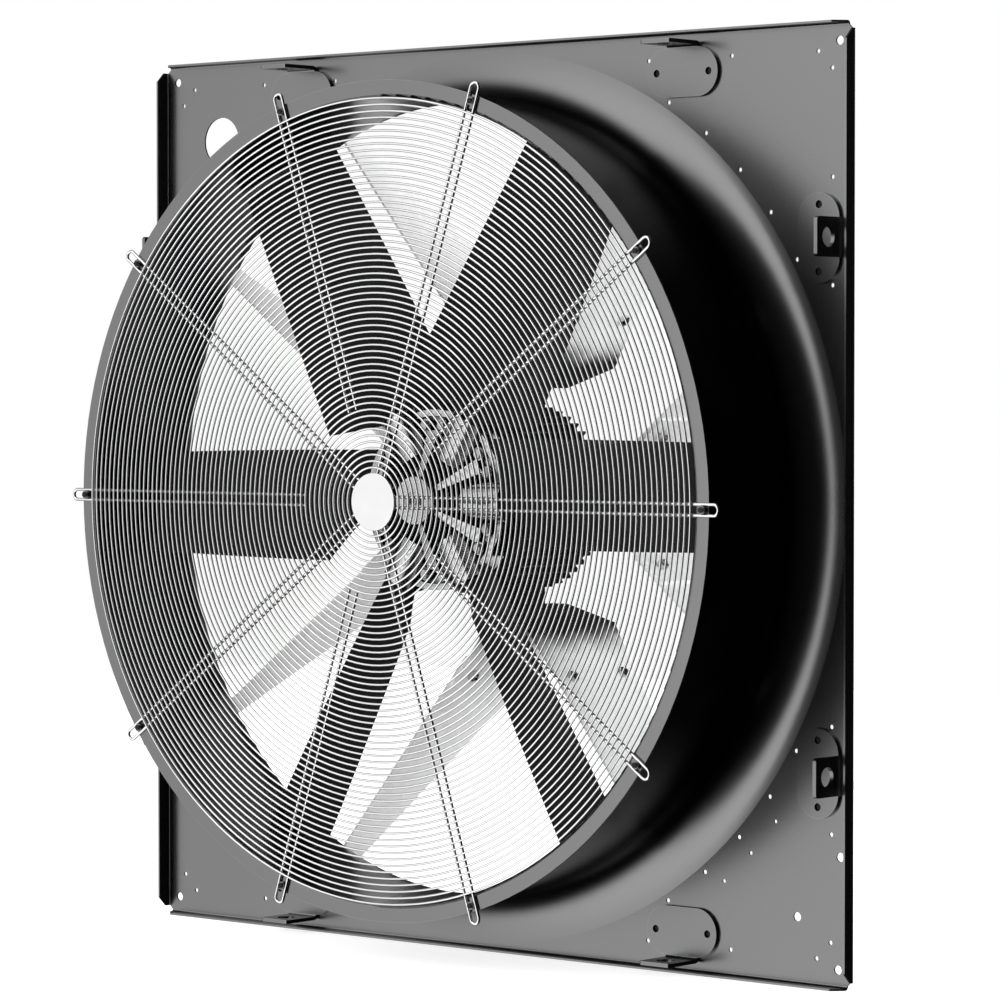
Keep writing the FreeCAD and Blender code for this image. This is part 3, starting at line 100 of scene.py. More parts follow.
def add_node(tree, kind, settings, inputs):
    """A node with its settings made and each input set to a value or linked from a socket."""
    made = tree.nodes.new(kind)
    for key, value in settings.items():
        setattr(made, key, value)
    for key, value in inputs.items():
        if isinstance(value, bpy.types.NodeSocket):
            tree.links.new(value, made.inputs[key])
        else:
            made.inputs[key].default_value = value
    return made


def math_node(tree, operation, *values):
    """The result of a sum, product or comparison of values and sockets."""
    made = add_node(tree, "ShaderNodeMath", {"operation": operation}, dict(enumerate(values)))
    return made.outputs["Value"]


def blend(tree, value, low, high):
    """0 below one value, 1 above the other, and a soft step between."""
    made = add_node(tree, "ShaderNodeMapRange", {"interpolation_type": "SMOOTHSTEP"}, {
        "Value": value,
        "From Min": low,
        "From Max": high,
    })
    return made.outputs["Result"]


def mix_values(tree, share, first, second):
    """The first value where the share is 0, the second where it is 1."""
    made = add_node(tree, "ShaderNodeMix", {"data_type": "FLOAT"}, {
        "Factor": share,
        "A": first,
        "B": second,
    })
    return made.outputs["Result"]


def mix_colours(tree, share, first, second):
    """The first colour where the share is 0, the second where it is 1."""
    made = add_node(tree, "ShaderNodeMix", {"data_type": "RGBA"}, {
        "Factor": share,
        MIX_COLOUR_A: first,
        MIX_COLOUR_B: second,
    })
    return made.outputs[MIX_COLOUR_RESULT]


# %% [markdown]
# The picture has a white background, and its metal parts live from what they mirror: a bright
# studio in front, on the left, above and below, a black right-hand side next to the camera, and a
# dark back. A world shader can say this directly, by the direction in which a mirrored ray leaves.
# A colour ramp holds the levels from left to right. It runs from 0 to 1 where a direction runs
# from -1 to 1, and it holds each level as a share of the ramp's top.

# %% World: the mirrored studio
ACROSS_STOPS = (
    (-1.00, 1.20),
    (-0.86, 1.00),
    (-0.74, 0.90),
    (-0.58, 1.42),
    (-0.30, 1.65),
    (-0.04, 1.65),
    (0.13, 0.00),
)
RAMP_TOP = 2.5
BEHIND_FROM = -0.45
BEHIND_TO = 0.0
BEHIND_DARKNESS = 0.97

world = bpy.data.worlds.new("studio_surround")
scene.world = world
world.use_nodes = True
tree = world.node_tree
tree.nodes.clear()
direction = tree.nodes.new("ShaderNodeTexCoord").outputs["Generated"]
along = add_node(tree, "ShaderNodeSeparateXYZ", {}, {"Vector": direction}).outputs
across = add_node(tree, "ShaderNodeValToRGB", {}, {
    "Fac": math_node(tree, "MULTIPLY_ADD", along["X"], 0.5, 0.5),
})
stops = across.color_ramp.elements
stops.remove(stops[1])
for place, level in ACROSS_STOPS:
    stop = stops[0] if place == ACROSS_STOPS[0][0] else stops.new((place + 1) / 2)
    stop.color = (level / RAMP_TOP, level / RAMP_TOP, level / RAMP_TOP, 1)
studio = math_node(tree, "MULTIPLY", across.outputs["Color"], RAMP_TOP)
at_back = blend(tree, along["Y"], BEHIND_FROM, BEHIND_TO)
in_front = math_node(tree, "SUBTRACT", 1.0, math_node(tree, "MULTIPLY", at_back, BEHIND_DARKNESS))
mirrored_level = math_node(tree, "MULTIPLY", studio, in_front)
print("mirrored levels from left to right", [level for place, level in ACROSS_STOPS])

# %% [markdown]
# The Light Path node tells what kind of ray asks. A mirrored or transmitted ray gets the studio
# above, the camera gets plain white, and all other rays get an even fill, as a white room lights
# dull surfaces from all sides.

# %% World: fill and background
FILL_LEVEL = 1.0
WHITE = (1, 1, 1, 1)

scene.view_settings.view_transform = "Standard"
ray = tree.nodes.new("ShaderNodeLightPath").outputs
mirrored = math_node(tree, "MAXIMUM", ray["Is Glossy Ray"], ray["Is Transmission Ray"])
lit_level = mix_values(tree, mirrored, FILL_LEVEL, mirrored_level)
background = add_node(tree, "ShaderNodeBackground", {}, {
    "Color": WHITE,
    "Strength": mix_values(tree, ray["Is Camera Ray"], lit_level, 1.0),
})
surround = tree.nodes.new("ShaderNodeOutputWorld")
tree.links.new(background.outputs["Background"], surround.inputs["Surface"])
print("world fill level", FILL_LEVEL)

# %% [markdown]
# Soft boxes light the painted, plastic and zinc surfaces and the floor: a key from the front left,
# a weaker one from above, and two for the arms behind the impeller, one low at the front right
# that reaches them through the duct and one beside the plate. Large areas give shadows without
# hard edges. The world already holds what metal should mirror, so the boxes are kept out of
# reflections.

# %% Lamps
def soft_box(name, location, target, size, power):
    """A square area lamp turned to its target."""
    aim = Vector(target) - Vector(location)
    bpy.ops.object.light_add(
        type="AREA",
        location=location,
        rotation=aim.to_track_quat("-Z", "Y").to_euler(),
    )
    lamp = bpy.context.object
    lamp.name = name
    lamp.data.size = size
    lamp.data.energy = power
    lamp.visible_glossy = False


soft_box("key_box", (-3.2, -4.2, 1.6), target=(0, 0, 0), size=2.6, power=110)
soft_box("top_box", (-0.4, -1.6, 4.2), target=(0, 0, 0), size=2.4, power=60)
soft_box("low_box", (2.6, -3.0, -0.4), target=(-0.2, 0.1, -0.2), size=1.6, power=220)
soft_box("arm_box", (3.6, 1.4, 0.1), target=(0, 0.1, 0), size=2.0, power=65)

# %% [markdown]
# The floor is a plain pale sheet under the lower fold of the plate. It glows most of the way to
# white by itself, and its diffuse part adds the rest, so the fan's shadow still shows on it. The
# sheet is kept out of reflections. They see the world, which is as bright below the horizon as
# above, so the metal mirrors the same studio at top and bottom.

# %% Floor
FLOOR_HALF = 5.0
FLOOR_GAP = 0.0005
FLOOR_GLOW = 0.72
FLOOR_COLOUR = (0.60, 0.60, 0.60, 1)

bpy.ops.mesh.primitive_plane_add(size=2 * FLOOR_HALF, location=(0, 0, cad_low.z - FLOOR_GAP))
floor = bpy.context.object
floor.name = "studio_floor"
floor.visible_glossy = False
floor_finish = bpy.data.materials.new("studio_floor_finish")
floor_finish.use_nodes = True
tree = floor_finish.node_tree
tree.nodes.clear()
ray = tree.nodes.new("ShaderNodeLightPath").outputs
mirrored = math_node(tree, "MAXIMUM", ray["Is Glossy Ray"], ray["Is Transmission Ray"])
seen = math_node(tree, "MAXIMUM", ray["Is Camera Ray"], mirrored)
glow = add_node(tree, "ShaderNodeEmission", {}, {
    "Color": WHITE,
    "Strength": math_node(tree, "MULTIPLY", seen, FLOOR_GLOW),
})
matt = add_node(tree, "ShaderNodeBsdfDiffuse", {}, {"Color": FLOOR_COLOUR})
both = tree.nodes.new("ShaderNodeAddShader")
tree.links.new(glow.outputs["Emission"], both.inputs[0])
tree.links.new(matt.outputs["BSDF"], both.inputs[1])
surface = tree.nodes.new("ShaderNodeOutputMaterial")
tree.links.new(both.outputs["Shader"], surface.inputs["Surface"])
floor.data.materials.append(floor_finish)
print("floor at z", round(floor.location.z, 4))

# %% [markdown]
# Shared effects are node groups: built once, then placed in each material with its own values. A
# group has named sockets on both sides. All textures start from Object coordinates, which are the
# place on the object in metres, so a pattern keeps its size and its place on the part.

# %% Group helpers
COLOUR = "NodeSocketColor"
VALUE = "NodeSocketFloat"


def start_group(name, inputs, outputs):
    """An empty shader group with inputs (label: value) and outputs (label: kind of socket)."""
    group = bpy.data.node_groups.new(name, "ShaderNodeTree")
    for label, value in inputs.items():
        kind = COLOUR if isinstance(value, tuple) else VALUE
        socket = group.interface.new_socket(label, in_out="INPUT", socket_type=kind)
        socket.default_value = value
    for label, kind in outputs.items():
        group.interface.new_socket(label, in_out="OUTPUT", socket_type=kind)
    given = group.nodes.new("NodeGroupInput").outputs
    result = group.nodes.new("NodeGroupOutput").inputs
    return group, given, result


def object_place(tree):
    """The place on the object."""
    return tree.nodes.new("ShaderNodeTexCoord").outputs["Object"]


def noise(tree, place, scale, detail):
    """Soft random patches between 0 and 1."""
    made = add_node(tree, "ShaderNodeTexNoise", {}, {
        "Vector": place,
        "Scale": scale,
        "Detail": detail,
    })
    return made.outputs["Fac"]


# %% [markdown]
# The skin of a sprayed coat has slow light and dark clouds, patches that shine a little more or
# less, and the fine dimples that painters call orange peel. Cast and plated metal is built in the
# same way, with a slight cloud in its colour and shine and a fine grain, so one function makes
# both groups.

# %% Groups: sprayed skin and metal grain
MIDDLE = 0.5
SKIN_RESULTS = {"Colour": COLOUR, "Roughness": VALUE, "Height": VALUE}


def skin_group(name, patch_label, patch_detail, fine_label, fine_detail):
    """Slow patches change colour and shine about their given values, fine noise is the height."""
    group, given, result = start_group(name, {
        "Colour": (0.5, 0.5, 0.5, 1),
        "Colour Spread": 0.1,
        "Roughness": 0.3,
        "Roughness Spread": 0.1,
        patch_label: 20.0,
        fine_label: 900.0,
    }, SKIN_RESULTS)
    place = object_place(group)
    patches = noise(group, place, given[patch_label], patch_detail)
    swing = math_node(group, "SUBTRACT", patches, MIDDLE)
    tinted = add_node(group, "ShaderNodeVectorMath", {"operation": "SCALE"}, {
        "Vector": given["Colour"],
        "Scale": math_node(group, "MULTIPLY_ADD", swing, given["Colour Spread"], 1.0),
    })
    shine = math_node(group, "MULTIPLY_ADD", swing, given["Roughness Spread"], given["Roughness"])
    group.links.new(tinted.outputs["Vector"], result["Colour"])
    group.links.new(shine, result["Roughness"])
    group.links.new(noise(group, place, given[fine_label], fine_detail), result["Height"])
    print("group", group.name)
    return group


sprayed_skin = skin_group(
    "sprayed_skin",
    patch_label="Cloud Scale", patch_detail=4.0, fine_label="Dimple Scale", fine_detail=1.0)
metal_grain = skin_group(
    "metal_grain",
    patch_label="Patch Scale", patch_detail=5.0, fine_label="Grain Scale", fine_detail=2.0)

# %% [markdown]
# Paint thins out where two faces meet, and handling rubs metal bright there. The Bevel node gives
# the normal that a rounded edge would have, so where it leaves the real normal there is an edge.
# Noise breaks the line up.

# %% Group: rubbed edges
EDGE_BEGINS = 0.98
EDGE_FULL = 0.80

rubbed_edges, given, result = start_group("rubbed_edges", {
    "Radius": 0.002,
    "Amount": 0.5,
    "Patch Scale": 40.0,
}, {"Mask": VALUE})
rounded = add_node(rubbed_edges, "ShaderNodeBevel", {"samples": 4}, {"Radius": given["Radius"]})
true_normal = rubbed_edges.nodes.new("ShaderNodeNewGeometry").outputs["Normal"]
agreement = add_node(rubbed_edges, "ShaderNodeVectorMath", {"operation": "DOT_PRODUCT"}, {
    0: rounded.outputs["Normal"],
    1: true_normal,
}).outputs["Value"]
edge = add_node(rubbed_edges, "ShaderNodeMapRange", {}, {
    "Value": agreement,
    "From Min": EDGE_BEGINS,
    "From Max": EDGE_FULL,
    "To Min": 0.0,
    "To Max": 1.0,
}).outputs["Result"]
patches = noise(rubbed_edges, object_place(rubbed_edges), given["Patch Scale"], detail=3.0)
worn = math_node(rubbed_edges, "MULTIPLY", edge, patches)
mask = math_node(rubbed_edges, "MULTIPLY", worn, given["Amount"])
rubbed_edges.links.new(mask, result["Mask"])
print("group", rubbed_edges.name)

# %% [markdown]
# Hot-dip zinc freezes in flat crystals, the spangle. A Voronoi texture gives each crystal its own
# grey and its own shine, which is all that the eye reads as galvanised sheet.

# %% Group: zinc crystals
zinc_crystals, given, result = start_group("zinc_crystals", {
    "Light": (0.85, 0.85, 0.85, 1),
    "Dark": (0.65, 0.65, 0.65, 1),
    "Crystal Scale": 60.0,
    "Roughness": 0.3,
    "Roughness Spread": 0.15,
}, SKIN_RESULTS)
cells = add_node(zinc_crystals, "ShaderNodeTexVoronoi", {}, {
    "Vector": object_place(zinc_crystals),
    "Scale": given["Crystal Scale"],
})
share = add_node(zinc_crystals, "ShaderNodeSeparateXYZ", {}, {
    "Vector": cells.outputs["Color"],
}).outputs["X"]
greys = mix_colours(zinc_crystals, share, given["Dark"], given["Light"])
swing = math_node(zinc_crystals, "SUBTRACT", share, MIDDLE)
shine = math_node(
    zinc_crystals, "MULTIPLY_ADD", swing, given["Roughness Spread"], given["Roughness"])
zinc_crystals.links.new(greys, result["Colour"])
zinc_crystals.links.new(shine, result["Roughness"])
zinc_crystals.links.new(share, result["Height"])
print("group", zinc_crystals.name)

# %% [markdown]
# A lathe leaves fine rings about the axis, and a stack of core sheets shows as fine lines along
# it. Both are a Wave texture, once as rings about the Y axis and once as bands along Y.

# %% Group: tool lines
LINE_WAVER = 0.4

tool_lines, given, result = start_group("tool_lines", {
    "Light": (0.7, 0.7, 0.7, 1),
    "Dark": (0.5, 0.5, 0.5, 1),
    "Ring Scale": 180.0,
    "Band Scale": 300.0,
    "Band Share": 0.5,
}, {"Colour": COLOUR, "Height": VALUE})
place = object_place(tool_lines)
waves = {}
for wave_type, turned_to, scale in (
    ("RINGS", "rings_direction", "Ring Scale"),
    ("BANDS", "bands_direction", "Band Scale"),
):
    settings = {"wave_type": wave_type, turned_to: "Y"}
    waves[wave_type] = add_node(tool_lines, "ShaderNodeTexWave", settings, {
        "Vector": place,
        "Scale": given[scale],
        "Distortion": LINE_WAVER,
    }).outputs["Fac"]
lines = mix_values(tool_lines, given["Band Share"], waves["RINGS"], waves["BANDS"])
greys = mix_colours(tool_lines, lines, given["Dark"], given["Light"])
tool_lines.links.new(greys, result["Colour"])
tool_lines.links.new(lines, result["Height"])
print("group", tool_lines.name)

# %% [markdown]
# A material starts as a Principled shader with its plain numbers set on its own sockets. The
# groups then feed the sockets that change over the surface: colour, roughness and, through a Bump
# node, the normal.

# %% Material helpers
finishes = {}


def start_finish(slot, name, metallic, specular):
    """A material for one slot of the record: its node tree and its Principled shader."""
    made = bpy.data.materials.new(name)
    made.use_nodes = True
    shader = made.node_tree.nodes["Principled BSDF"]
    shader.inputs["Metallic"].default_value = metallic
    shader.inputs["Specular IOR Level"].default_value = specular
    finishes[slot] = made
    print("finish", made.name)
    return made.node_tree, shader.inputs


def place_group(tree, group, values):
    """A group in a material, with its own values."""
    return add_node(tree, "ShaderNodeGroup", {"node_tree": group}, values).outputs


def rub_edges(tree, colour, bright, values):
    """The colour, mixed towards a brighter one along rubbed edges."""
    mask = place_group(tree, rubbed_edges, values)["Mask"]
    return mix_colours(tree, mask, colour, bright)


def feed(tree, shader, skin, strength, depth, colour=None):
    """Links a group to the shader: its colour or another one, its roughness if it has one, and
    its height as bumps that rise by depth, in metres."""
    tree.links.new(skin["Colour"] if colour is None else colour, shader["Base Color"])
    if "Roughness" in skin:
        tree.links.new(skin["Roughness"], shader["Roughness"])
    bumps = add_node(tree, "ShaderNodeBump", {}, {
        "Height": skin["Height"],
        "Strength": strength,
        "Distance": depth,
    })
    tree.links.new(bumps.outputs["Normal"], shader["Normal"])


def simple_finish(slot, name, group, values, metallic, specular, strength, depth):
    """A finish that is one group alone. Its shader can still be given plain numbers."""
    tree, shader = start_finish(slot, name, metallic, specular)
    feed(tree, shader, place_group(tree, group, values), strength, depth)
    return shader


# %% [markdown]
# Plate, nozzle and lugs share one coat: a grey satin full of metal flake. The flake is why it
# mirrors the bright studio as mid grey and turns black where it faces the dark side, so the coat
# is wholly metallic. The nozzle's tube is sprayed black, thinner inside than outside, and this
# coat fades away over the bellmouth. What faces the wall only has a dull undercoat. One material
# can do all this when the place on the object and the way a face looks decide, so both become
# masks.

# %% Finish: duct paint, masks
REAR_FACING = 0.3
REAR_DULLNESS = 0.85
COAT_FRONT = -0.2632
COAT_INNER = 0.6285
COAT_THIN_SHARE = 0.25
COAT_FADE_FROM = -0.050
COAT_FADE_TO = -0.018
COAT_REACH = 0.70
ACROSS_AXIS = (1, 0, 1)


def distance_from_axis(tree, place):
    """How far a place lies from the fan axis."""
    flat = add_node(tree, "ShaderNodeVectorMath", {"operation": "MULTIPLY"}, {
        0: place,
        1: ACROSS_AXIS,
    }).outputs["Vector"]
    made = add_node(tree, "ShaderNodeVectorMath", {"operation": "LENGTH"}, {0: flat})
    return made.outputs["Value"]


tree, shader = start_finish("duct_paint", "satin_duct_paint", metallic=1.0, specular=0.3)
coordinates = tree.nodes.new("ShaderNodeTexCoord").outputs
place = coordinates["Object"]
along_axis = add_node(tree, "ShaderNodeSeparateXYZ", {}, {"Vector": place}).outputs["Y"]
facing = add_node(tree, "ShaderNodeSeparateXYZ", {}, {"Vector": coordinates["Normal"]})
on_rear = math_node(tree, "GREATER_THAN", facing.outputs["Y"], REAR_FACING)
undercoat = math_node(tree, "MULTIPLY", on_rear, REAR_DULLNESS)
from_axis = distance_from_axis(tree, place)
inside = math_node(tree, "LESS_THAN", from_axis, COAT_INNER)
in_reach = math_node(tree, "LESS_THAN", from_axis, COAT_REACH)
cover = math_node(tree, "MULTIPLY_ADD", inside, -COAT_THIN_SHARE, in_reach)
behind_rim = math_node(tree, "GREATER_THAN", along_axis, COAT_FRONT)
on_duct = math_node(tree, "MULTIPLY", behind_rim, cover)
faded = blend(tree, along_axis, COAT_FADE_FROM, COAT_FADE_TO)
coated = math_node(tree, "MULTIPLY", on_duct, math_node(tree, "SUBTRACT", 1.0, faded))

# %% [markdown]
# The masks then mix the coats: black over grey by the duct's mask, and less metal on the rear.

# %% Finish: duct paint, coats
# Black for the nozzle's coat, and also the painted shade on the brackets near the motor.
BLACK_COAT_AND_SHADE = (0.012, 0.012, 0.0125, 1)

skin = place_group(tree, sprayed_skin, {
    "Colour": (0.205, 0.205, 0.208, 1),
    "Colour Spread": 0.08,
    "Roughness": 0.25,
    "Roughness Spread": 0.08,
    "Cloud Scale": 4.0,
    "Dimple Scale": 650.0,
})
colour = rub_edges(tree, skin["Colour"], (0.42, 0.42, 0.42, 1), {
    "Radius": 0.002,
    "Amount": 0.7,
    "Patch Scale": 35.0,
})
coats = mix_colours(tree, coated, colour, BLACK_COAT_AND_SHADE)
feed(tree, shader, skin, strength=0.10, depth=0.0003, colour=coats)
tree.links.new(math_node(tree, "SUBTRACT", 1.0, undercoat), shader["Metallic"])
print("duct paint has", len(tree.nodes), "nodes")

# %% [markdown]
# Blades and motor are black. The blades are cast with a close, slightly soft skin, the motor has a
# thicker coat over a rougher casting, so it takes a deeper grain.

# %% Finish: blades and motor
simple_finish("blade_black", "black_blade_skin", sprayed_skin, {
    "Colour": (0.009, 0.009, 0.0095, 1),
    "Colour Spread": 0.5,
    "Roughness": 0.42,
    "Roughness Spread": 0.12,
    "Cloud Scale": 9.0,
    "Dimple Scale": 1100.0,
}, metallic=0.0, specular=0.12, strength=0.15, depth=0.0003)

tree, shader = start_finish("motor_paint", "black_motor_coat", metallic=0.0, specular=0.25)
skin = place_group(tree, sprayed_skin, {
    "Colour": (0.008, 0.008, 0.0085, 1),
    "Colour Spread": 0.5,
    "Roughness": 0.40,
    "Roughness Spread": 0.15,
    "Cloud Scale": 14.0,
    "Dimple Scale": 420.0,
})
colour = rub_edges(tree, skin["Colour"], (0.05, 0.05, 0.05, 1), {
    "Radius": 0.0015,
    "Amount": 0.6,
    "Patch Scale": 60.0,
})
feed(tree, shader, skin, strength=0.35, depth=0.0006, colour=colour)

# %% [markdown]
# The guard is bright zinc-plated wire. Plating is even and smooth, so it gets a light grain and
# little spread.

# %% Finish: guard wire
simple_finish("guard_wire", "bright_plated_wire", metal_grain, {
    "Colour": (0.82, 0.82, 0.82, 1),
    "Colour Spread": 0.08,
    "Roughness": 0.16,
    "Roughness Spread": 0.10,
    "Patch Scale": 30.0,
    "Grain Scale": 1500.0,
}, metallic=1.0, specular=0.5, strength=0.02, depth=0.0001)

# %% [markdown]
# Arms and brackets behind the impeller are uncoated galvanised sheet and show the crystals of the
# zinc. Zinc weathers to a pale, dull grey, so the finish is only a little metallic and takes light
# from the side like paint. Near the motor the brackets get painted shade: black covers them at the
# pads and fades out along their legs, so the distance from the fan axis mixes black into the zinc,
# with some noise in the edge. This black is painted shade, not a coat.

# %% Finish: galvanised sheet
# Painted shade on the brackets: full up to one distance from the fan axis, gone at the other, with
# a noisy edge.
SHADE_FULL_R = 0.215
SHADE_END_R = 0.275
SHADE_EDGE_WAVER = 0.05

tree, shader = start_finish("galvanised_sheet", "spangled_zinc_with_painted_shade", metallic=0.10, specular=0.3)
place = object_place(tree)
# Painted shade: black near the motor that fades to zinc, its edge broken up by noise.
shade_waver = noise(tree, place, scale=14.0, detail=4.0)
edge = math_node(tree, "MULTIPLY_ADD", shade_waver, SHADE_EDGE_WAVER, distance_from_axis(tree, place))
unshaded = blend(
    tree, edge, SHADE_FULL_R + SHADE_EDGE_WAVER / 2, SHADE_END_R + SHADE_EDGE_WAVER / 2)
skin = place_group(tree, zinc_crystals, {
    "Light": (0.93, 0.93, 0.93, 1),
    "Dark": (0.87, 0.87, 0.88, 1),
    "Crystal Scale": 70.0,
    "Roughness": 0.38,
    "Roughness Spread": 0.15,
})
coats = mix_colours(tree, unshaded, BLACK_COAT_AND_SHADE, skin["Colour"])
feed(tree, shader, skin, strength=0.04, depth=0.0001, colour=coats)

# %% [markdown]
# The hub halves are die-cast aluminium with a fine, bright skin. Painted shade darkens their
# pockets and recesses to near black, while the raised parts stay bright. The Ambient Occlusion
# node tells how deep a point lies between its neighbours, so it serves as the mask for that
# painted shade.

# %% Finish: hub casting
# Painted shade in the hub's pockets: its colour, how far the occlusion looks, and the openness at
# which shade is full and at which it is gone.
POCKET_SHADE_COLOUR = (0.025, 0.025, 0.026, 1)
POCKET_SHADE_DEPTH = 0.06
FULL_SHADE_OPENNESS = 0.50
NO_SHADE_OPENNESS = 0.85

tree, shader = start_finish("hub_casting", "die_cast_hub", metallic=1.0, specular=0.5)
skin = place_group(tree, metal_grain, {
    "Colour": (0.66, 0.66, 0.67, 1),
    "Colour Spread": 0.12,
    "Roughness": 0.10,
    "Roughness Spread": 0.06,
    "Patch Scale": 60.0,
    "Grain Scale": 700.0,
})
# Painted shade: the less open a point is, the more its colour goes towards near black.
openness = add_node(tree, "ShaderNodeAmbientOcclusion", {"samples": 8}, {
    "Distance": POCKET_SHADE_DEPTH,
}).outputs["AO"]
pocket_shaded = mix_colours(tree, blend(tree, openness, FULL_SHADE_OPENNESS, NO_SHADE_OPENNESS), POCKET_SHADE_COLOUR, skin["Colour"])
feed(tree, shader, skin, strength=0.04, depth=0.0001, colour=pocket_shaded)

# %% [markdown]
# Fasteners come in two finishes: zinc-plated at the motor, its arms and the hub, blackened at the
# plate and the guard.

# %% Finish: fasteners
simple_finish("zinc_fastener", "plated_fastener", metal_grain, {
    "Colour": (0.62, 0.62, 0.63, 1),
    "Colour Spread": 0.25,
    "Roughness": 0.28,
    "Roughness Spread": 0.2,
    "Patch Scale": 90.0,
    "Grain Scale": 1200.0,
}, metallic=1.0, specular=0.5, strength=0.08, depth=0.0001)

tree, shader = start_finish("black_fastener", "blackened_fastener", metallic=0.7, specular=0.4)
skin = place_group(tree, metal_grain, {
    "Colour": (0.012, 0.012, 0.0125, 1),
    "Colour Spread": 0.5,
    "Roughness": 0.38,
    "Roughness Spread": 0.2,
    "Patch Scale": 90.0,
    "Grain Scale": 1200.0,
})
colour = rub_edges(tree, skin["Colour"], (0.30, 0.30, 0.30, 1), {
    "Radius": 0.0006,
    "Amount": 0.7,
    "Patch Scale": 150.0,
})
feed(tree, shader, skin, strength=0.10, depth=0.0001, colour=colour)

# %% [markdown]
# Shaft, bush and washer are turned, the core is a stack of sheets, and the bearings are ground and
# polished.

# %% Finish: machine steel
shader = simple_finish("turned_steel", "turned_steel_lines", tool_lines, {
    "Light": (0.88, 0.88, 0.88, 1),
    "Dark": (0.76, 0.76, 0.77, 1),
    "Ring Scale": 260.0,
    "Band Scale": 260.0,
    "Band Share": 0.5,
}, metallic=1.0, specular=0.5, strength=0.10, depth=0.0001)
shader["Roughness"].default_value = 0.26

shader = simple_finish("core_steel", "stacked_core_sheets", tool_lines, {
    "Light": (0.36, 0.36, 0.37, 1),
    "Dark": (0.16, 0.16, 0.17, 1),
    "Ring Scale": 30.0,
    "Band Scale": 320.0,
    "Band Share": 0.9,
}, metallic=0.9, specular=0.5, strength=0.3, depth=0.0002)
shader["Roughness"].default_value = 0.45

simple_finish("bearing_steel", "ground_bearing_steel", metal_grain, {
    "Colour": (0.72, 0.72, 0.73, 1),
    "Colour Spread": 0.1,
    "Roughness": 0.12,
    "Roughness Spread": 0.08,
    "Patch Scale": 120.0,
    "Grain Scale": 1800.0,
}, metallic=1.0, specular=0.5, strength=0.04, depth=0.00005)

# %% [markdown]
# Two finishes are seen only from behind or inside: the moulded cable gland and the lacquered
# copper winding.

# %% Finish: gland and winding
simple_finish("gland_plastic", "moulded_gland", sprayed_skin, {
    "Colour": (0.03, 0.03, 0.031, 1),
    "Colour Spread": 0.4,
    "Roughness": 0.5,
    "Roughness Spread": 0.15,
    "Cloud Scale": 60.0,
    "Dimple Scale": 1600.0,
}, metallic=0.0, specular=0.5, strength=0.25, depth=0.0002)

shader = simple_finish("winding_copper", "lacquered_winding", tool_lines, {
    "Light": (0.62, 0.30, 0.14, 1),
    "Dark": (0.30, 0.13, 0.06, 1),
    "Ring Scale": 220.0,
    "Band Scale": 40.0,
    "Band Share": 0.3,
}, metallic=0.8, specular=0.5, strength=0.5, depth=0.0006)
shader["Roughness"].default_value = 0.35
shader["Coat Weight"].default_value = 0.6

# %% [markdown]
# Every CAD node comes with a plain material that is named for its slot. Swapping it for the finish
# of that slot dresses the whole frame in one loop, and the meshes stay as they are.

# %% Dress the CAD nodes
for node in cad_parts.values():
    node.data.materials[0] = finishes[node.data.materials[0].name]
print("dressed", len(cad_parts), "nodes in", len(finishes), "finishes")

# %% [markdown]
# New pieces all end in the same way: faces outwards, smooth shading except over real edges, a
# finish, and a body of the frame to ride on. One helper does this, another merges the seams that a
# sweep or a Boolean can leave.

# %% Piece helpers
SMOOTH_LIMIT = math.radians(25)
WIRE_SMOOTH_LIMIT = math.radians(60)
MERGE_LIMIT = 0.00001


def pick(*objects):
    """Selects these objects only, the first of them active."""
    bpy.ops.object.select_all(action="DESELECT")
    for chosen in objects:
        chosen.select_set(True)
    bpy.context.view_layer.objects.active = objects[0]


def edit_all(piece, operator, **settings):
    """Runs an edit mode operator on the whole mesh of a piece."""
    pick(piece)
    bpy.ops.object.mode_set(mode="EDIT")
    bpy.ops.mesh.select_all(action="SELECT")
    operator(**settings)
    bpy.ops.object.mode_set(mode="OBJECT")


def merge_seams(piece):
    """Merges points that lie on each other."""
    edit_all(piece, bpy.ops.mesh.remove_doubles, threshold=MERGE_LIMIT)


def finish_piece(piece, name, slot, body, *stands_for, smooth=SMOOTH_LIMIT):
    """Gives the piece its name, finish and body, and hides the nodes it stands for."""
    pick(piece)
    bpy.ops.object.transform_apply(location=True, rotation=True, scale=True)
    edit_all(piece, bpy.ops.mesh.normals_make_consistent, inside=False)
    bpy.ops.object.shade_smooth_by_angle(angle=smooth)
    piece.name = name
    piece.data.name = name
    piece.data.materials.clear()
    piece.data.materials.append(finishes[slot])
    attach(piece, body)
    if stands_for:
        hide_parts(*stands_for)
    piece.data.calc_loop_triangles()
    print(name, len(piece.data.loop_triangles), "triangles")


# %% [markdown]
# The guard has 58 concentric rings of round wire. In the CAD each has a plain six-sided section.
# Here the section is drawn once per ring as a small circle in the XY plane, and one Spin about the
# fan axis sweeps all of them together. Inner rings are short, so they need fewer steps than the
# outer ones.

# %% Guard rings
RING_COUNT = 58
RING_WIRE_R = 0.0018
RING_WIRE_SIDES = 8
RING_INNER_R = 0.0535
RING_OUTER_R = 0.6264
RING_PLANE = -0.27384
RING_STEP = (RING_OUTER_R - RING_INNER_R) / (RING_COUNT - 1)
INNER_RINGS = 22
INNER_STEPS = 96
OUTER_STEPS = 176


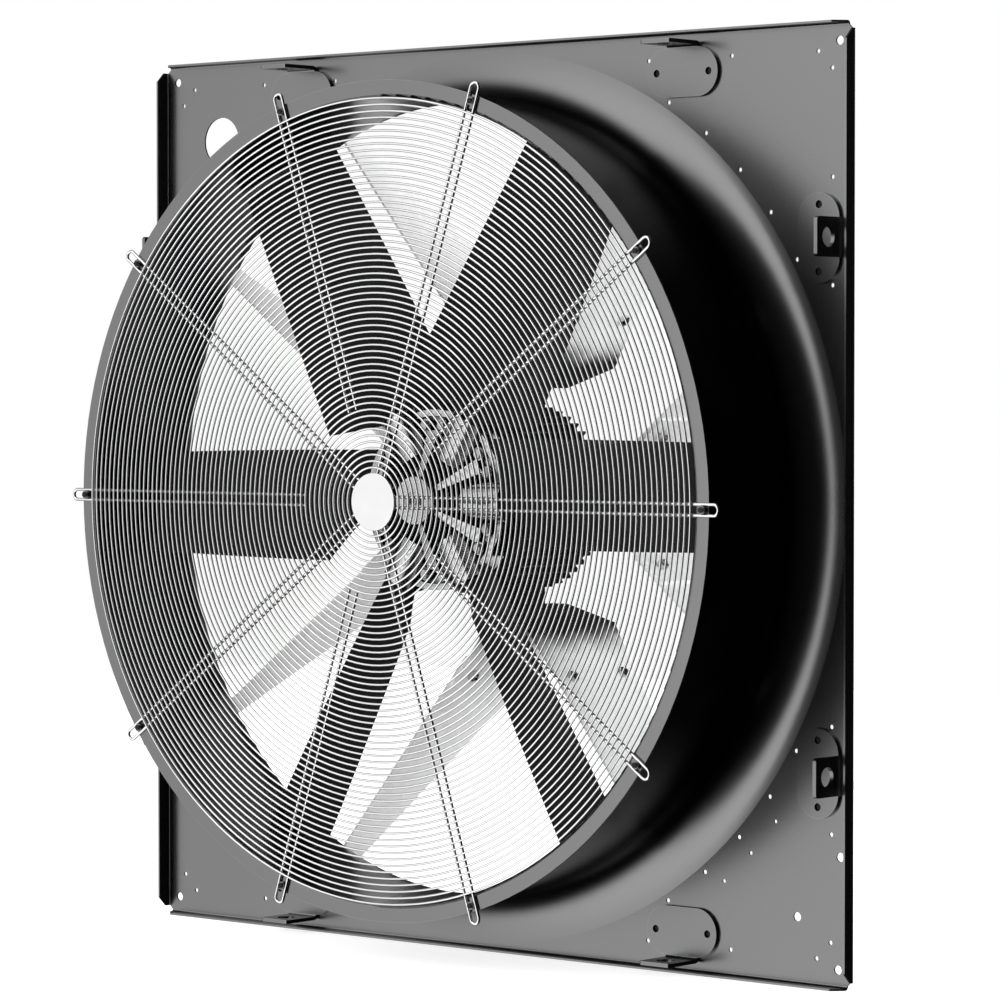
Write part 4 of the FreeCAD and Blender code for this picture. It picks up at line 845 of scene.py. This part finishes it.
def spin_rings(radii, steps):
    """Wire rings of these radii about the fan axis, as one object."""
    bpy.ops.object.select_all(action="DESELECT")
    bpy.ops.mesh.primitive_circle_add(
        vertices=RING_WIRE_SIDES, radius=RING_WIRE_R, location=(radii[0], RING_PLANE, 0))
    bpy.ops.object.transform_apply(location=True)
    bpy.ops.object.mode_set(mode="EDIT")
    for radius in radii[1:]:
        bpy.ops.mesh.primitive_circle_add(
            vertices=RING_WIRE_SIDES, radius=RING_WIRE_R, location=(radius, RING_PLANE, 0))
    bpy.ops.mesh.select_all(action="SELECT")
    bpy.ops.mesh.spin(
        steps=steps, angle=2 * math.pi, center=(0, 0, 0), axis=(0, 1, 0), use_auto_merge=True)
    bpy.ops.object.mode_set(mode="OBJECT")
    merge_seams(bpy.context.object)
    return bpy.context.object


ring_radii = [RING_INNER_R + RING_STEP * i for i in range(RING_COUNT)]
inner_rings = spin_rings(ring_radii[:INNER_RINGS], INNER_STEPS)
outer_rings = spin_rings(ring_radii[INNER_RINGS:], OUTER_STEPS)
pick(outer_rings, inner_rings)
bpy.ops.object.join()
finish_piece(
    outer_rings, "guard_ring_wires", "guard_wire", "frame", "guard_rings",
    smooth=WIRE_SMOOTH_LIMIT)

# %% [markdown]
# Each ring is resistance-welded to both legs of every spoke, and each weld squeezes out a small
# flat bead between the two wires. One bead is an icosphere squashed in edit mode. An Array runs it
# out along a leg at the ring pitch, a Mirror makes the second leg, and the row is copied round to
# the ten spokes.

# %% Guard welds
SPOKE_COUNT = 10
SPOKE_LEG_OUT = 0.00825
SPOKE_FRONT = -0.27204
SHORT_SPOKE_FIRST_RING = 10
BEAD_R = 0.0021
BEAD_FLATNESS = 0.5


def weld_row(first_ring):
    """The beads of one spoke along +X, from that ring outwards, on both legs."""
    bpy.ops.object.select_all(action="DESELECT")
    bpy.ops.mesh.primitive_ico_sphere_add(
        subdivisions=1,
        radius=BEAD_R,
        location=(ring_radii[first_ring], SPOKE_FRONT, SPOKE_LEG_OUT),
    )
    row = bpy.context.object
    bpy.ops.object.mode_set(mode="EDIT")
    bpy.ops.transform.resize(value=(1, BEAD_FLATNESS, 1))
    bpy.ops.object.mode_set(mode="OBJECT")
    bpy.ops.object.transform_apply(location=True)
    array = row.modifiers.new("ring_pitch", "ARRAY")
    array.count = RING_COUNT - first_ring
    array.use_relative_offset = False
    array.use_constant_offset = True
    array.constant_offset_displace = (RING_STEP, 0, 0)
    bpy.ops.object.modifier_apply(modifier=array.name)
    mirror = row.modifiers.new("second_leg", "MIRROR")
    mirror.use_axis = (False, False, True)
    bpy.ops.object.modifier_apply(modifier=mirror.name)
    return row


def copy_to(model, places):
    """The model copied to each place, every copy with its own mesh, all joined as one object."""
    copies = []
    for place in places:
        pick(model)
        bpy.ops.object.duplicate(linked=False)
        copy = bpy.context.object
        copy.matrix_world = place @ model.matrix_world
        bpy.ops.object.transform_apply(location=True, rotation=True, scale=True)
        copies.append(copy)
    pick(model)
    bpy.ops.object.delete()
    pick(*copies)
    bpy.ops.object.join()
    return bpy.context.object


def about_axis(angle):
    """A turn about the fan axis that takes +X towards +Z."""
    return Matrix.Rotation(-angle, 4, "Y")


spoke_turns = [about_axis(2 * math.pi * i / SPOKE_COUNT) for i in range(SPOKE_COUNT)]
long_welds = copy_to(weld_row(0), spoke_turns[0::2])
short_welds = copy_to(weld_row(SHORT_SPOKE_FIRST_RING), spoke_turns[1::2])
pick(long_welds, short_welds)
bpy.ops.object.join()
merge_seams(long_welds)
finish_piece(long_welds, "guard_welds", "guard_wire", "frame", smooth=WIRE_SMOOTH_LIMIT)

# %% [markdown]
# Most of the fan is held by hexagon bolts and nuts. Such a head is a six-sided prism whose outer
# corners are turned off at 30 degrees, which leaves curved edges on its flats. By hand this is a
# hexagon and a cone on the same axis, and a Boolean that keeps what both have in common. The same
# block, bored through, is a nut.

# %% Hexagon blocks and nuts
HEX_SIDES = 6
CHAMFER_START = 0.475
CHAMFER_RISE = math.sqrt(3)
CONE_SIDES = 32
BORE_SIDES = 20
ALONG_Y = (math.pi / 2, 0, 0)
CUT_OVERRUN = 0.0005


def round_bar(radius, start, end, sides):
    """A cylinder along the Y axis between two places on it, as a start for a piece."""
    bpy.ops.object.select_all(action="DESELECT")
    bpy.ops.mesh.primitive_cylinder_add(
        vertices=sides,
        radius=radius,
        depth=end - start,
        location=(0, (start + end) / 2, 0),
        rotation=ALONG_Y,
    )
    bpy.ops.object.transform_apply(location=True, rotation=True)
    return bpy.context.object


def combine(piece, other, operation):
    """A Boolean of the piece with the other one, which is used up."""
    pick(piece)
    joint = piece.modifiers.new("combine", "BOOLEAN")
    joint.operation = operation
    joint.object = other
    bpy.ops.object.modifier_apply(modifier=joint.name)
    pick(other)
    bpy.ops.object.delete()
    return piece


def hex_block(across_flats, height):
    """A hexagon that stands on y 0 towards -Y, with its outer corners turned off."""
    block = round_bar(across_flats / math.sqrt(3), -height, 0, HEX_SIDES)
    top_r = CHAMFER_START * across_flats
    bpy.ops.object.select_all(action="DESELECT")
    bpy.ops.mesh.primitive_cone_add(
        vertices=CONE_SIDES,
        radius1=top_r + (height + CUT_OVERRUN) * CHAMFER_RISE,
        radius2=top_r - CUT_OVERRUN * CHAMFER_RISE,
        depth=height + 2 * CUT_OVERRUN,
        location=(0, -height / 2, 0),
        rotation=ALONG_Y,
    )
    cone = bpy.context.object
    bpy.ops.object.transform_apply(location=True, rotation=True)
    return combine(block, cone, "INTERSECT")


def nut(across_flats, height, thread):
    """A hexagon nut that stands on y 0 towards -Y."""
    bore = round_bar(thread / 2, -height - CUT_OVERRUN, CUT_OVERRUN, BORE_SIDES)
    return combine(hex_block(across_flats, height), bore, "DIFFERENCE")


# %% [markdown]
# A bolt adds the shank. It starts as a bar that runs up into the head, its far face is picked by
# its place, and a bevel of that face's edge makes the turned-off end that finds the thread. A
# union then makes head and shank one closed skin. The common sizes are kept as across flats,
# height of head and thread.

# %% Bolts
M8 = (0.013, 0.0053, 0.008)
M10 = (0.017, 0.0064, 0.010)
M12 = (0.019, 0.0075, 0.012)
SHANK_SIDES = 20
END_CHAMFER = 0.12
PLACE_LIMIT = 0.00001
FRONTWARDS = (0, -1, 0)
REARWARDS = (0, 1, 0)
INWARDS = (-1, 0, 0)


def select_faces(piece, chosen):
    """Goes into edit mode with those faces selected whose middle passes the test."""
    pick(piece)
    bpy.ops.object.mode_set(mode="EDIT")
    bpy.ops.mesh.select_mode(type="FACE")
    bpy.ops.mesh.select_all(action="DESELECT")
    bpy.ops.object.mode_set(mode="OBJECT")
    for face in piece.data.polygons:
        face.select = chosen(face.center)
    bpy.ops.object.mode_set(mode="EDIT")


def bevel_end(bar, end, width, segments=1):
    """Bevels the edge of the face that closes a bar at that place on the Y axis."""
    select_faces(bar, lambda middle: abs(middle.y - end) < PLACE_LIMIT)
    bpy.ops.mesh.bevel(offset=width, segments=segments, affect="EDGES")
    bpy.ops.object.mode_set(mode="OBJECT")


def bolt(size, length):
    """A bolt with its head seated at y 0 and its shank along +Y."""
    across_flats, head_height, thread = size
    shank = round_bar(thread / 2, -head_height / 2, length, SHANK_SIDES)
    bevel_end(shank, length, END_CHAMFER * thread)
    return combine(hex_block(across_flats, head_height), shank, "UNION")


def seat(place, drive):
    """The move that puts a bolt's seat at a place and turns its shank to the drive direction."""
    turn = Vector(REARWARDS).rotation_difference(Vector(drive))
    return Matrix.Translation(place) @ turn.to_matrix().to_4x4()


# %% [markdown]
# Ten screws hold the guard's loops on the rim. Each clamps its loop with a thin washer in the
# colour of the rim, so only the small black head shows. The washer is a bar with a chamfered outer
# edge and a bore.

# %% Guard screws, washers and nuts
GUARD_SCREW_R = 0.6455
GUARD_SCREW = (0.008, 0.0026, 0.006)
GUARD_SCREW_LENGTH = 0.01744
GUARD_WASHER_R = 0.0065
GUARD_WASHER_T = 0.0014
GUARD_WASHER_EDGE = 0.0004
GUARD_WASHER_BORE_R = 0.0032
GUARD_NUT_SEAT = -0.264


def on_rim(depth, drive):
    """The seats of the guard's ten fasteners at that depth on the fan axis."""
    return [turn @ seat((GUARD_SCREW_R, depth, 0), drive) for turn in spoke_turns]


washer = round_bar(GUARD_WASHER_R, -GUARD_WASHER_T, 0, CONE_SIDES)
bevel_end(washer, -GUARD_WASHER_T, GUARD_WASHER_EDGE)
washer_bore = round_bar(
    GUARD_WASHER_BORE_R, -GUARD_WASHER_T - CUT_OVERRUN, CUT_OVERRUN, BORE_SIDES)
combine(washer, washer_bore, "DIFFERENCE")
washers = copy_to(washer, on_rim(SPOKE_FRONT, REARWARDS))
finish_piece(washers, "guard_washers", "duct_paint", "frame")
screws = copy_to(
    bolt(GUARD_SCREW, GUARD_SCREW_LENGTH), on_rim(SPOKE_FRONT - GUARD_WASHER_T, REARWARDS))
finish_piece(screws, "guard_screw_set", "black_fastener", "frame", "guard_screws")
nuts = copy_to(
    nut(across_flats=0.010, height=0.005, thread=0.006), on_rim(GUARD_NUT_SEAT, FRONTWARDS))
finish_piece(nuts, "guard_nut_set", "black_fastener", "frame", "guard_nuts")

# %% [markdown]
# The lugs are bolted from behind, two bolts each, through the arm's foot and the plate. The bolts
# end below the lug's face, so their places show as recesses. Eight lugs mirror each other about
# both axes and about the diagonal, so one place is turned into eight by swapping and changing
# signs.

# %% Lug bolts
LUG_AT = 0.662
LUG_OFFSET = 0.40208
LUG_HALF_PITCH = 0.0505
LUG_SEAT = 0.004
LUG_BOLT_LENGTH = 0.0090


def eight_ways(point):
    """The point and its mirror images about the X axis, the Z axis and the diagonals."""
    x, y, z = point
    return [
        (sx * a, y, sz * b)
        for a, b in ((x, z), (z, x)) for sx in (1, -1) for sz in (1, -1)
    ]


lug_places = [
    place
    for along_lug in (-LUG_HALF_PITCH, LUG_HALF_PITCH)
    for place in eight_ways((LUG_AT, LUG_SEAT, LUG_OFFSET + along_lug))
]
lug_bolts = copy_to(bolt(M12, LUG_BOLT_LENGTH), [seat(p, FRONTWARDS) for p in lug_places])
finish_piece(lug_bolts, "lug_bolt_set", "black_fastener", "frame", "lug_bolts")

# %% [markdown]
# Each arm laps its bracket with two bolts across the sheet. A place on an arm is given by how far
# it lies along the arm, how far along the fan axis, and how far to the inner side of the sheet.

# %% Arm bolts and nuts
ARM_FOOT = Vector((LUG_AT, 0, LUG_OFFSET))
ARM_ALONG = Vector((-0.7866, 0, -0.6176))
ARM_INSIDE = Vector((0.6176, 0, -0.7866))
LAP_AT = 0.475
LAP_BOLT_DEPTHS = (0.080, 0.2074)
LAP_BOLT_SIDE = -0.002
LAP_BOLT_LENGTH = 0.020
LAP_NUT_SIDE = 0.006


def lap_seats(side, drive):
    """The seats on all laps, at a distance to the inner side of the sheet."""
    places = []
    for depth in LAP_BOLT_DEPTHS:
        point = ARM_FOOT + ARM_ALONG * LAP_AT + ARM_INSIDE * side + Vector((0, depth, 0))
        places += [seat(p, d) for p, d in zip(eight_ways(point), eight_ways(drive))]
    return places


arm_bolts = copy_to(bolt(M10, LAP_BOLT_LENGTH), lap_seats(LAP_BOLT_SIDE, ARM_INSIDE))
finish_piece(arm_bolts, "arm_bolt_set", "zinc_fastener", "frame", "arm_bolts")
arm_nuts = copy_to(
    nut(across_flats=0.017, height=0.008, thread=0.010), lap_seats(LAP_NUT_SIDE, -ARM_INSIDE))
finish_piece(arm_nuts, "arm_nut_set", "zinc_fastener", "frame", "arm_nuts")

# %% [markdown]
# On the motor, two bolts hold each bracket on its pad, and four hold each end shield.

# %% Motor bolts
QUARTERS = [math.pi / 2 * i for i in range(4)]
PAD_SEAT_R = 0.180
PAD_BOLT_DEPTHS = (0.060, 0.104)
PAD_BOLT_LENGTH = 0.020
SHIELD_BOLT_R = 0.137
SHIELD_BOLT_ANGLES = [math.radians(a) for a in (22, 158, 202, 338)]
SHIELD_BOLT_LENGTH = 0.021
SHIELD_FRONT_SEAT = -0.057
SHIELD_REAR_SEAT = 0.129

pad_bolts = copy_to(bolt(M12, PAD_BOLT_LENGTH), [
    about_axis(a) @ seat((PAD_SEAT_R, depth, 0), INWARDS)
    for a in QUARTERS
    for depth in PAD_BOLT_DEPTHS
])
finish_piece(pad_bolts, "pad_bolt_set", "zinc_fastener", "frame", "motor_pad_bolts")
shield_bolts = copy_to(bolt(M8, SHIELD_BOLT_LENGTH), [
    about_axis(a) @ seat((SHIELD_BOLT_R, depth, 0), drive)
    for a in SHIELD_BOLT_ANGLES
    for depth, drive in ((SHIELD_FRONT_SEAT, REARWARDS), (SHIELD_REAR_SEAT, FRONTWARDS))
])
finish_piece(shield_bolts, "shield_bolt_set", "zinc_fastener", "frame", "shield_bolts")

# %% [markdown]
# The hub's halves are clamped by a bolt on each side of every blade root. The screw on the shaft's
# end holds the hub on: it is a hexagon head with a key socket in it, cut by a smaller hexagon.

# %% Hub bolts and end screw
BLADE_ANGLES = [math.pi / 3 * i for i in range(6)]
HUB_BOLT_R = 0.119
HUB_BOLT_ASIDE = math.radians(21.55)
HUB_BOLT_ANGLES = [
    a + aside for a in BLADE_ANGLES for aside in (-HUB_BOLT_ASIDE, HUB_BOLT_ASIDE)]
HUB_BOLT_LENGTH = 0.028
HUB_SEAT = -0.131
END_SEAT = -0.179
END_HEAD_T = 0.008
END_SCREW = (0.024, END_HEAD_T, 0.016)
END_SCREW_LENGTH = 0.036
SOCKET_FLATS = 0.014
SOCKET_DEPTH = 0.006

hub_bolts = copy_to(bolt(M8, HUB_BOLT_LENGTH), [
    about_axis(a) @ seat((HUB_BOLT_R, HUB_SEAT, 0), REARWARDS) for a in HUB_BOLT_ANGLES])
finish_piece(hub_bolts, "hub_bolt_set", "zinc_fastener", "impeller", "hub_bolts")
end_screw = bolt(END_SCREW, END_SCREW_LENGTH)
socket = round_bar(
    SOCKET_FLATS / math.sqrt(3), -END_HEAD_T - CUT_OVERRUN, SOCKET_DEPTH - END_HEAD_T, HEX_SIDES)
combine(end_screw, socket, "DIFFERENCE")
end_screw = copy_to(end_screw, [seat((0, END_SEAT, 0), REARWARDS)])
finish_piece(
    end_screw, "end_screw_with_socket", "zinc_fastener", "impeller", "shaft_end_screw")

# %% [markdown]
# The front half of the hub is a die casting: a thin floor with a low rim, a boss round the bush,
# half a barrel over each blade root, a gusset between the barrels that runs down from the boss,
# and a round pad under each bolt. The CAD has a plain cone where the photo shows open pockets. The
# gusset is a box whose outer end is picked, made lower and spread.

# %% Hub casting: bars and gusset
HUB_SPLIT = -0.117
GUSSET_FROM = 0.030
GUSSET_TO = 0.110
GUSSET_WIDTH = 0.006
GUSSET_FRONT = -0.168
GUSSET_SPREAD = 4.0
GUSSET_FALL = 0.30


def radial_bar(radius, start, end):
    """A cylinder along +X in the plane of the blades."""
    bpy.ops.object.select_all(action="DESELECT")
    bpy.ops.mesh.primitive_cylinder_add(
        vertices=CONE_SIDES,
        radius=radius,
        depth=end - start,
        location=((start + end) / 2, HUB_SPLIT, 0),
        rotation=(0, math.pi / 2, 0),
    )
    bpy.ops.object.transform_apply(location=True, rotation=True)
    return bpy.context.object


def box(middle, lengths):
    """A box about its middle."""
    bpy.ops.object.select_all(action="DESELECT")
    bpy.ops.mesh.primitive_cube_add(size=1, location=middle, scale=lengths)
    bpy.ops.object.transform_apply(location=True, rotation=True, scale=True)
    return bpy.context.object


gusset = box(
    ((GUSSET_FROM + GUSSET_TO) / 2, (GUSSET_FRONT + HUB_SPLIT) / 2, 0),
    (GUSSET_TO - GUSSET_FROM, HUB_SPLIT - GUSSET_FRONT, GUSSET_WIDTH),
)
select_faces(gusset, lambda middle: middle.x > GUSSET_TO - PLACE_LIMIT)
bpy.ops.transform.resize(
    value=(1, GUSSET_FALL, GUSSET_SPREAD), center_override=(GUSSET_TO, HUB_SPLIT, 0))
bpy.ops.object.mode_set(mode="OBJECT")
print("gusset", [round(v, 4) for v in gusset.dimensions])

# %% [markdown]
# Each form is modelled once and copied round. Booleans first add the forms up, then cut off what
# lies behind the split, and then bore the seats of the bush, the roots and the bolts. A small
# bevel breaks the edges, as a casting has no sharp ones.

# %% Hub front casting
HUB_R = 0.143
HUB_RIM_FRONT = -0.129
HUB_POCKET_R = 0.133
HUB_FLOOR = -0.123
HUB_SIDES = 96
BOSS_R = 0.0375
BOSS_FRONT = -0.172
BUSH_BORE_R = 0.03502
BARREL_R = 0.035
BARREL_FROM = 0.072
BARREL_TO = 0.149
ROOT_BORE_R = 0.0222
ROOT_FROM = 0.0838
GROOVE_R = 0.0272
GROOVE_FROM = 0.0938
GROOVE_TO = 0.1062
PAD_R = 0.0105
BOLT_HOLE_R = 0.0043
GUSSET_ANGLES = [a + math.pi / 6 for a in BLADE_ANGLES]
CAST_EDGE = 0.0007
CAST_EDGE_ANGLE = math.radians(40)


def at_each(model, angles, out=0.0):
    """The model moved out from the axis and copied to these angles."""
    return copy_to(model, [about_axis(a) @ Matrix.Translation((out, 0, 0)) for a in angles])


cut_back = HUB_SPLIT + CUT_OVERRUN
casting = round_bar(HUB_R, HUB_RIM_FRONT, cut_back, HUB_SIDES)
pocket = round_bar(HUB_POCKET_R, HUB_RIM_FRONT - CUT_OVERRUN, HUB_FLOOR, HUB_SIDES)
combine(casting, pocket, "DIFFERENCE")
combine(casting, round_bar(BOSS_R, BOSS_FRONT, HUB_SPLIT, HUB_SIDES), "UNION")
combine(casting, at_each(radial_bar(BARREL_R, BARREL_FROM, BARREL_TO), BLADE_ANGLES), "UNION")
combine(casting, at_each(gusset, GUSSET_ANGLES), "UNION")
pad = round_bar(PAD_R, HUB_SEAT, HUB_SPLIT, CONE_SIDES)
combine(casting, at_each(pad, HUB_BOLT_ANGLES, HUB_BOLT_R), "UNION")
combine(casting, round_bar(2 * HUB_R, HUB_SPLIT, HUB_SPLIT + HUB_R, HUB_SIDES), "DIFFERENCE")
bush_bore = round_bar(BUSH_BORE_R, BOSS_FRONT - CUT_OVERRUN, cut_back, HUB_SIDES)
combine(casting, bush_bore, "DIFFERENCE")
root_bore = radial_bar(ROOT_BORE_R, ROOT_FROM, 2 * HUB_R)
combine(casting, at_each(root_bore, BLADE_ANGLES), "DIFFERENCE")
groove = radial_bar(GROOVE_R, GROOVE_FROM, GROOVE_TO)
combine(casting, at_each(groove, BLADE_ANGLES), "DIFFERENCE")
bolt_hole = round_bar(BOLT_HOLE_R, HUB_SEAT - CUT_OVERRUN, cut_back, BORE_SIDES)
combine(casting, at_each(bolt_hole, HUB_BOLT_ANGLES, HUB_BOLT_R), "DIFFERENCE")
pick(casting)
edges = casting.modifiers.new("cast_edges", "BEVEL")
edges.width = CAST_EDGE
edges.segments = 1
edges.angle_limit = CAST_EDGE_ANGLE
bpy.ops.object.modifier_apply(modifier=edges.name)
merge_seams(casting)
finish_piece(casting, "hub_front_casting", "hub_casting", "impeller", "hub_front_half")

# %% [markdown]
# Four cheese-head screws close the lid of the terminal box. Their heads are bars with a rounded
# rim and a slot that a thin box cuts across.

# %% Terminal lid screws
LID_ANGLE = math.radians(135)
LID_TOP_R = 0.215
LID_SCREW_ASIDE = 0.044
LID_SCREW_DEPTHS = (-0.004, 0.076)
LID_HEAD_R = 0.0045
LID_HEAD_T = 0.003
LID_HEAD_EDGE = 0.0008
LID_SCREW_LENGTH = 0.006
SLOT_WIDTH = 0.0012
SLOT_DEPTH = 0.0014

lid_screw = round_bar(LID_HEAD_R, -LID_HEAD_T, 0, SHANK_SIDES)
bevel_end(lid_screw, -LID_HEAD_T, LID_HEAD_EDGE, segments=2)
lid_shank = round_bar(LID_HEAD_R / 2, -LID_HEAD_T / 2, LID_SCREW_LENGTH, SHANK_SIDES)
combine(lid_screw, lid_shank, "UNION")
slot_box = box((0, -LID_HEAD_T, 0), (4 * LID_HEAD_R, 2 * SLOT_DEPTH, SLOT_WIDTH))
combine(lid_screw, slot_box, "DIFFERENCE")
lid_screws = copy_to(lid_screw, [
    about_axis(LID_ANGLE) @ seat((LID_TOP_R, depth, aside), INWARDS)
    for depth in LID_SCREW_DEPTHS
    for aside in (-LID_SCREW_ASIDE, LID_SCREW_ASIDE)
])
finish_piece(lid_screws, "terminal_lid_screws", "zinc_fastener", "frame")
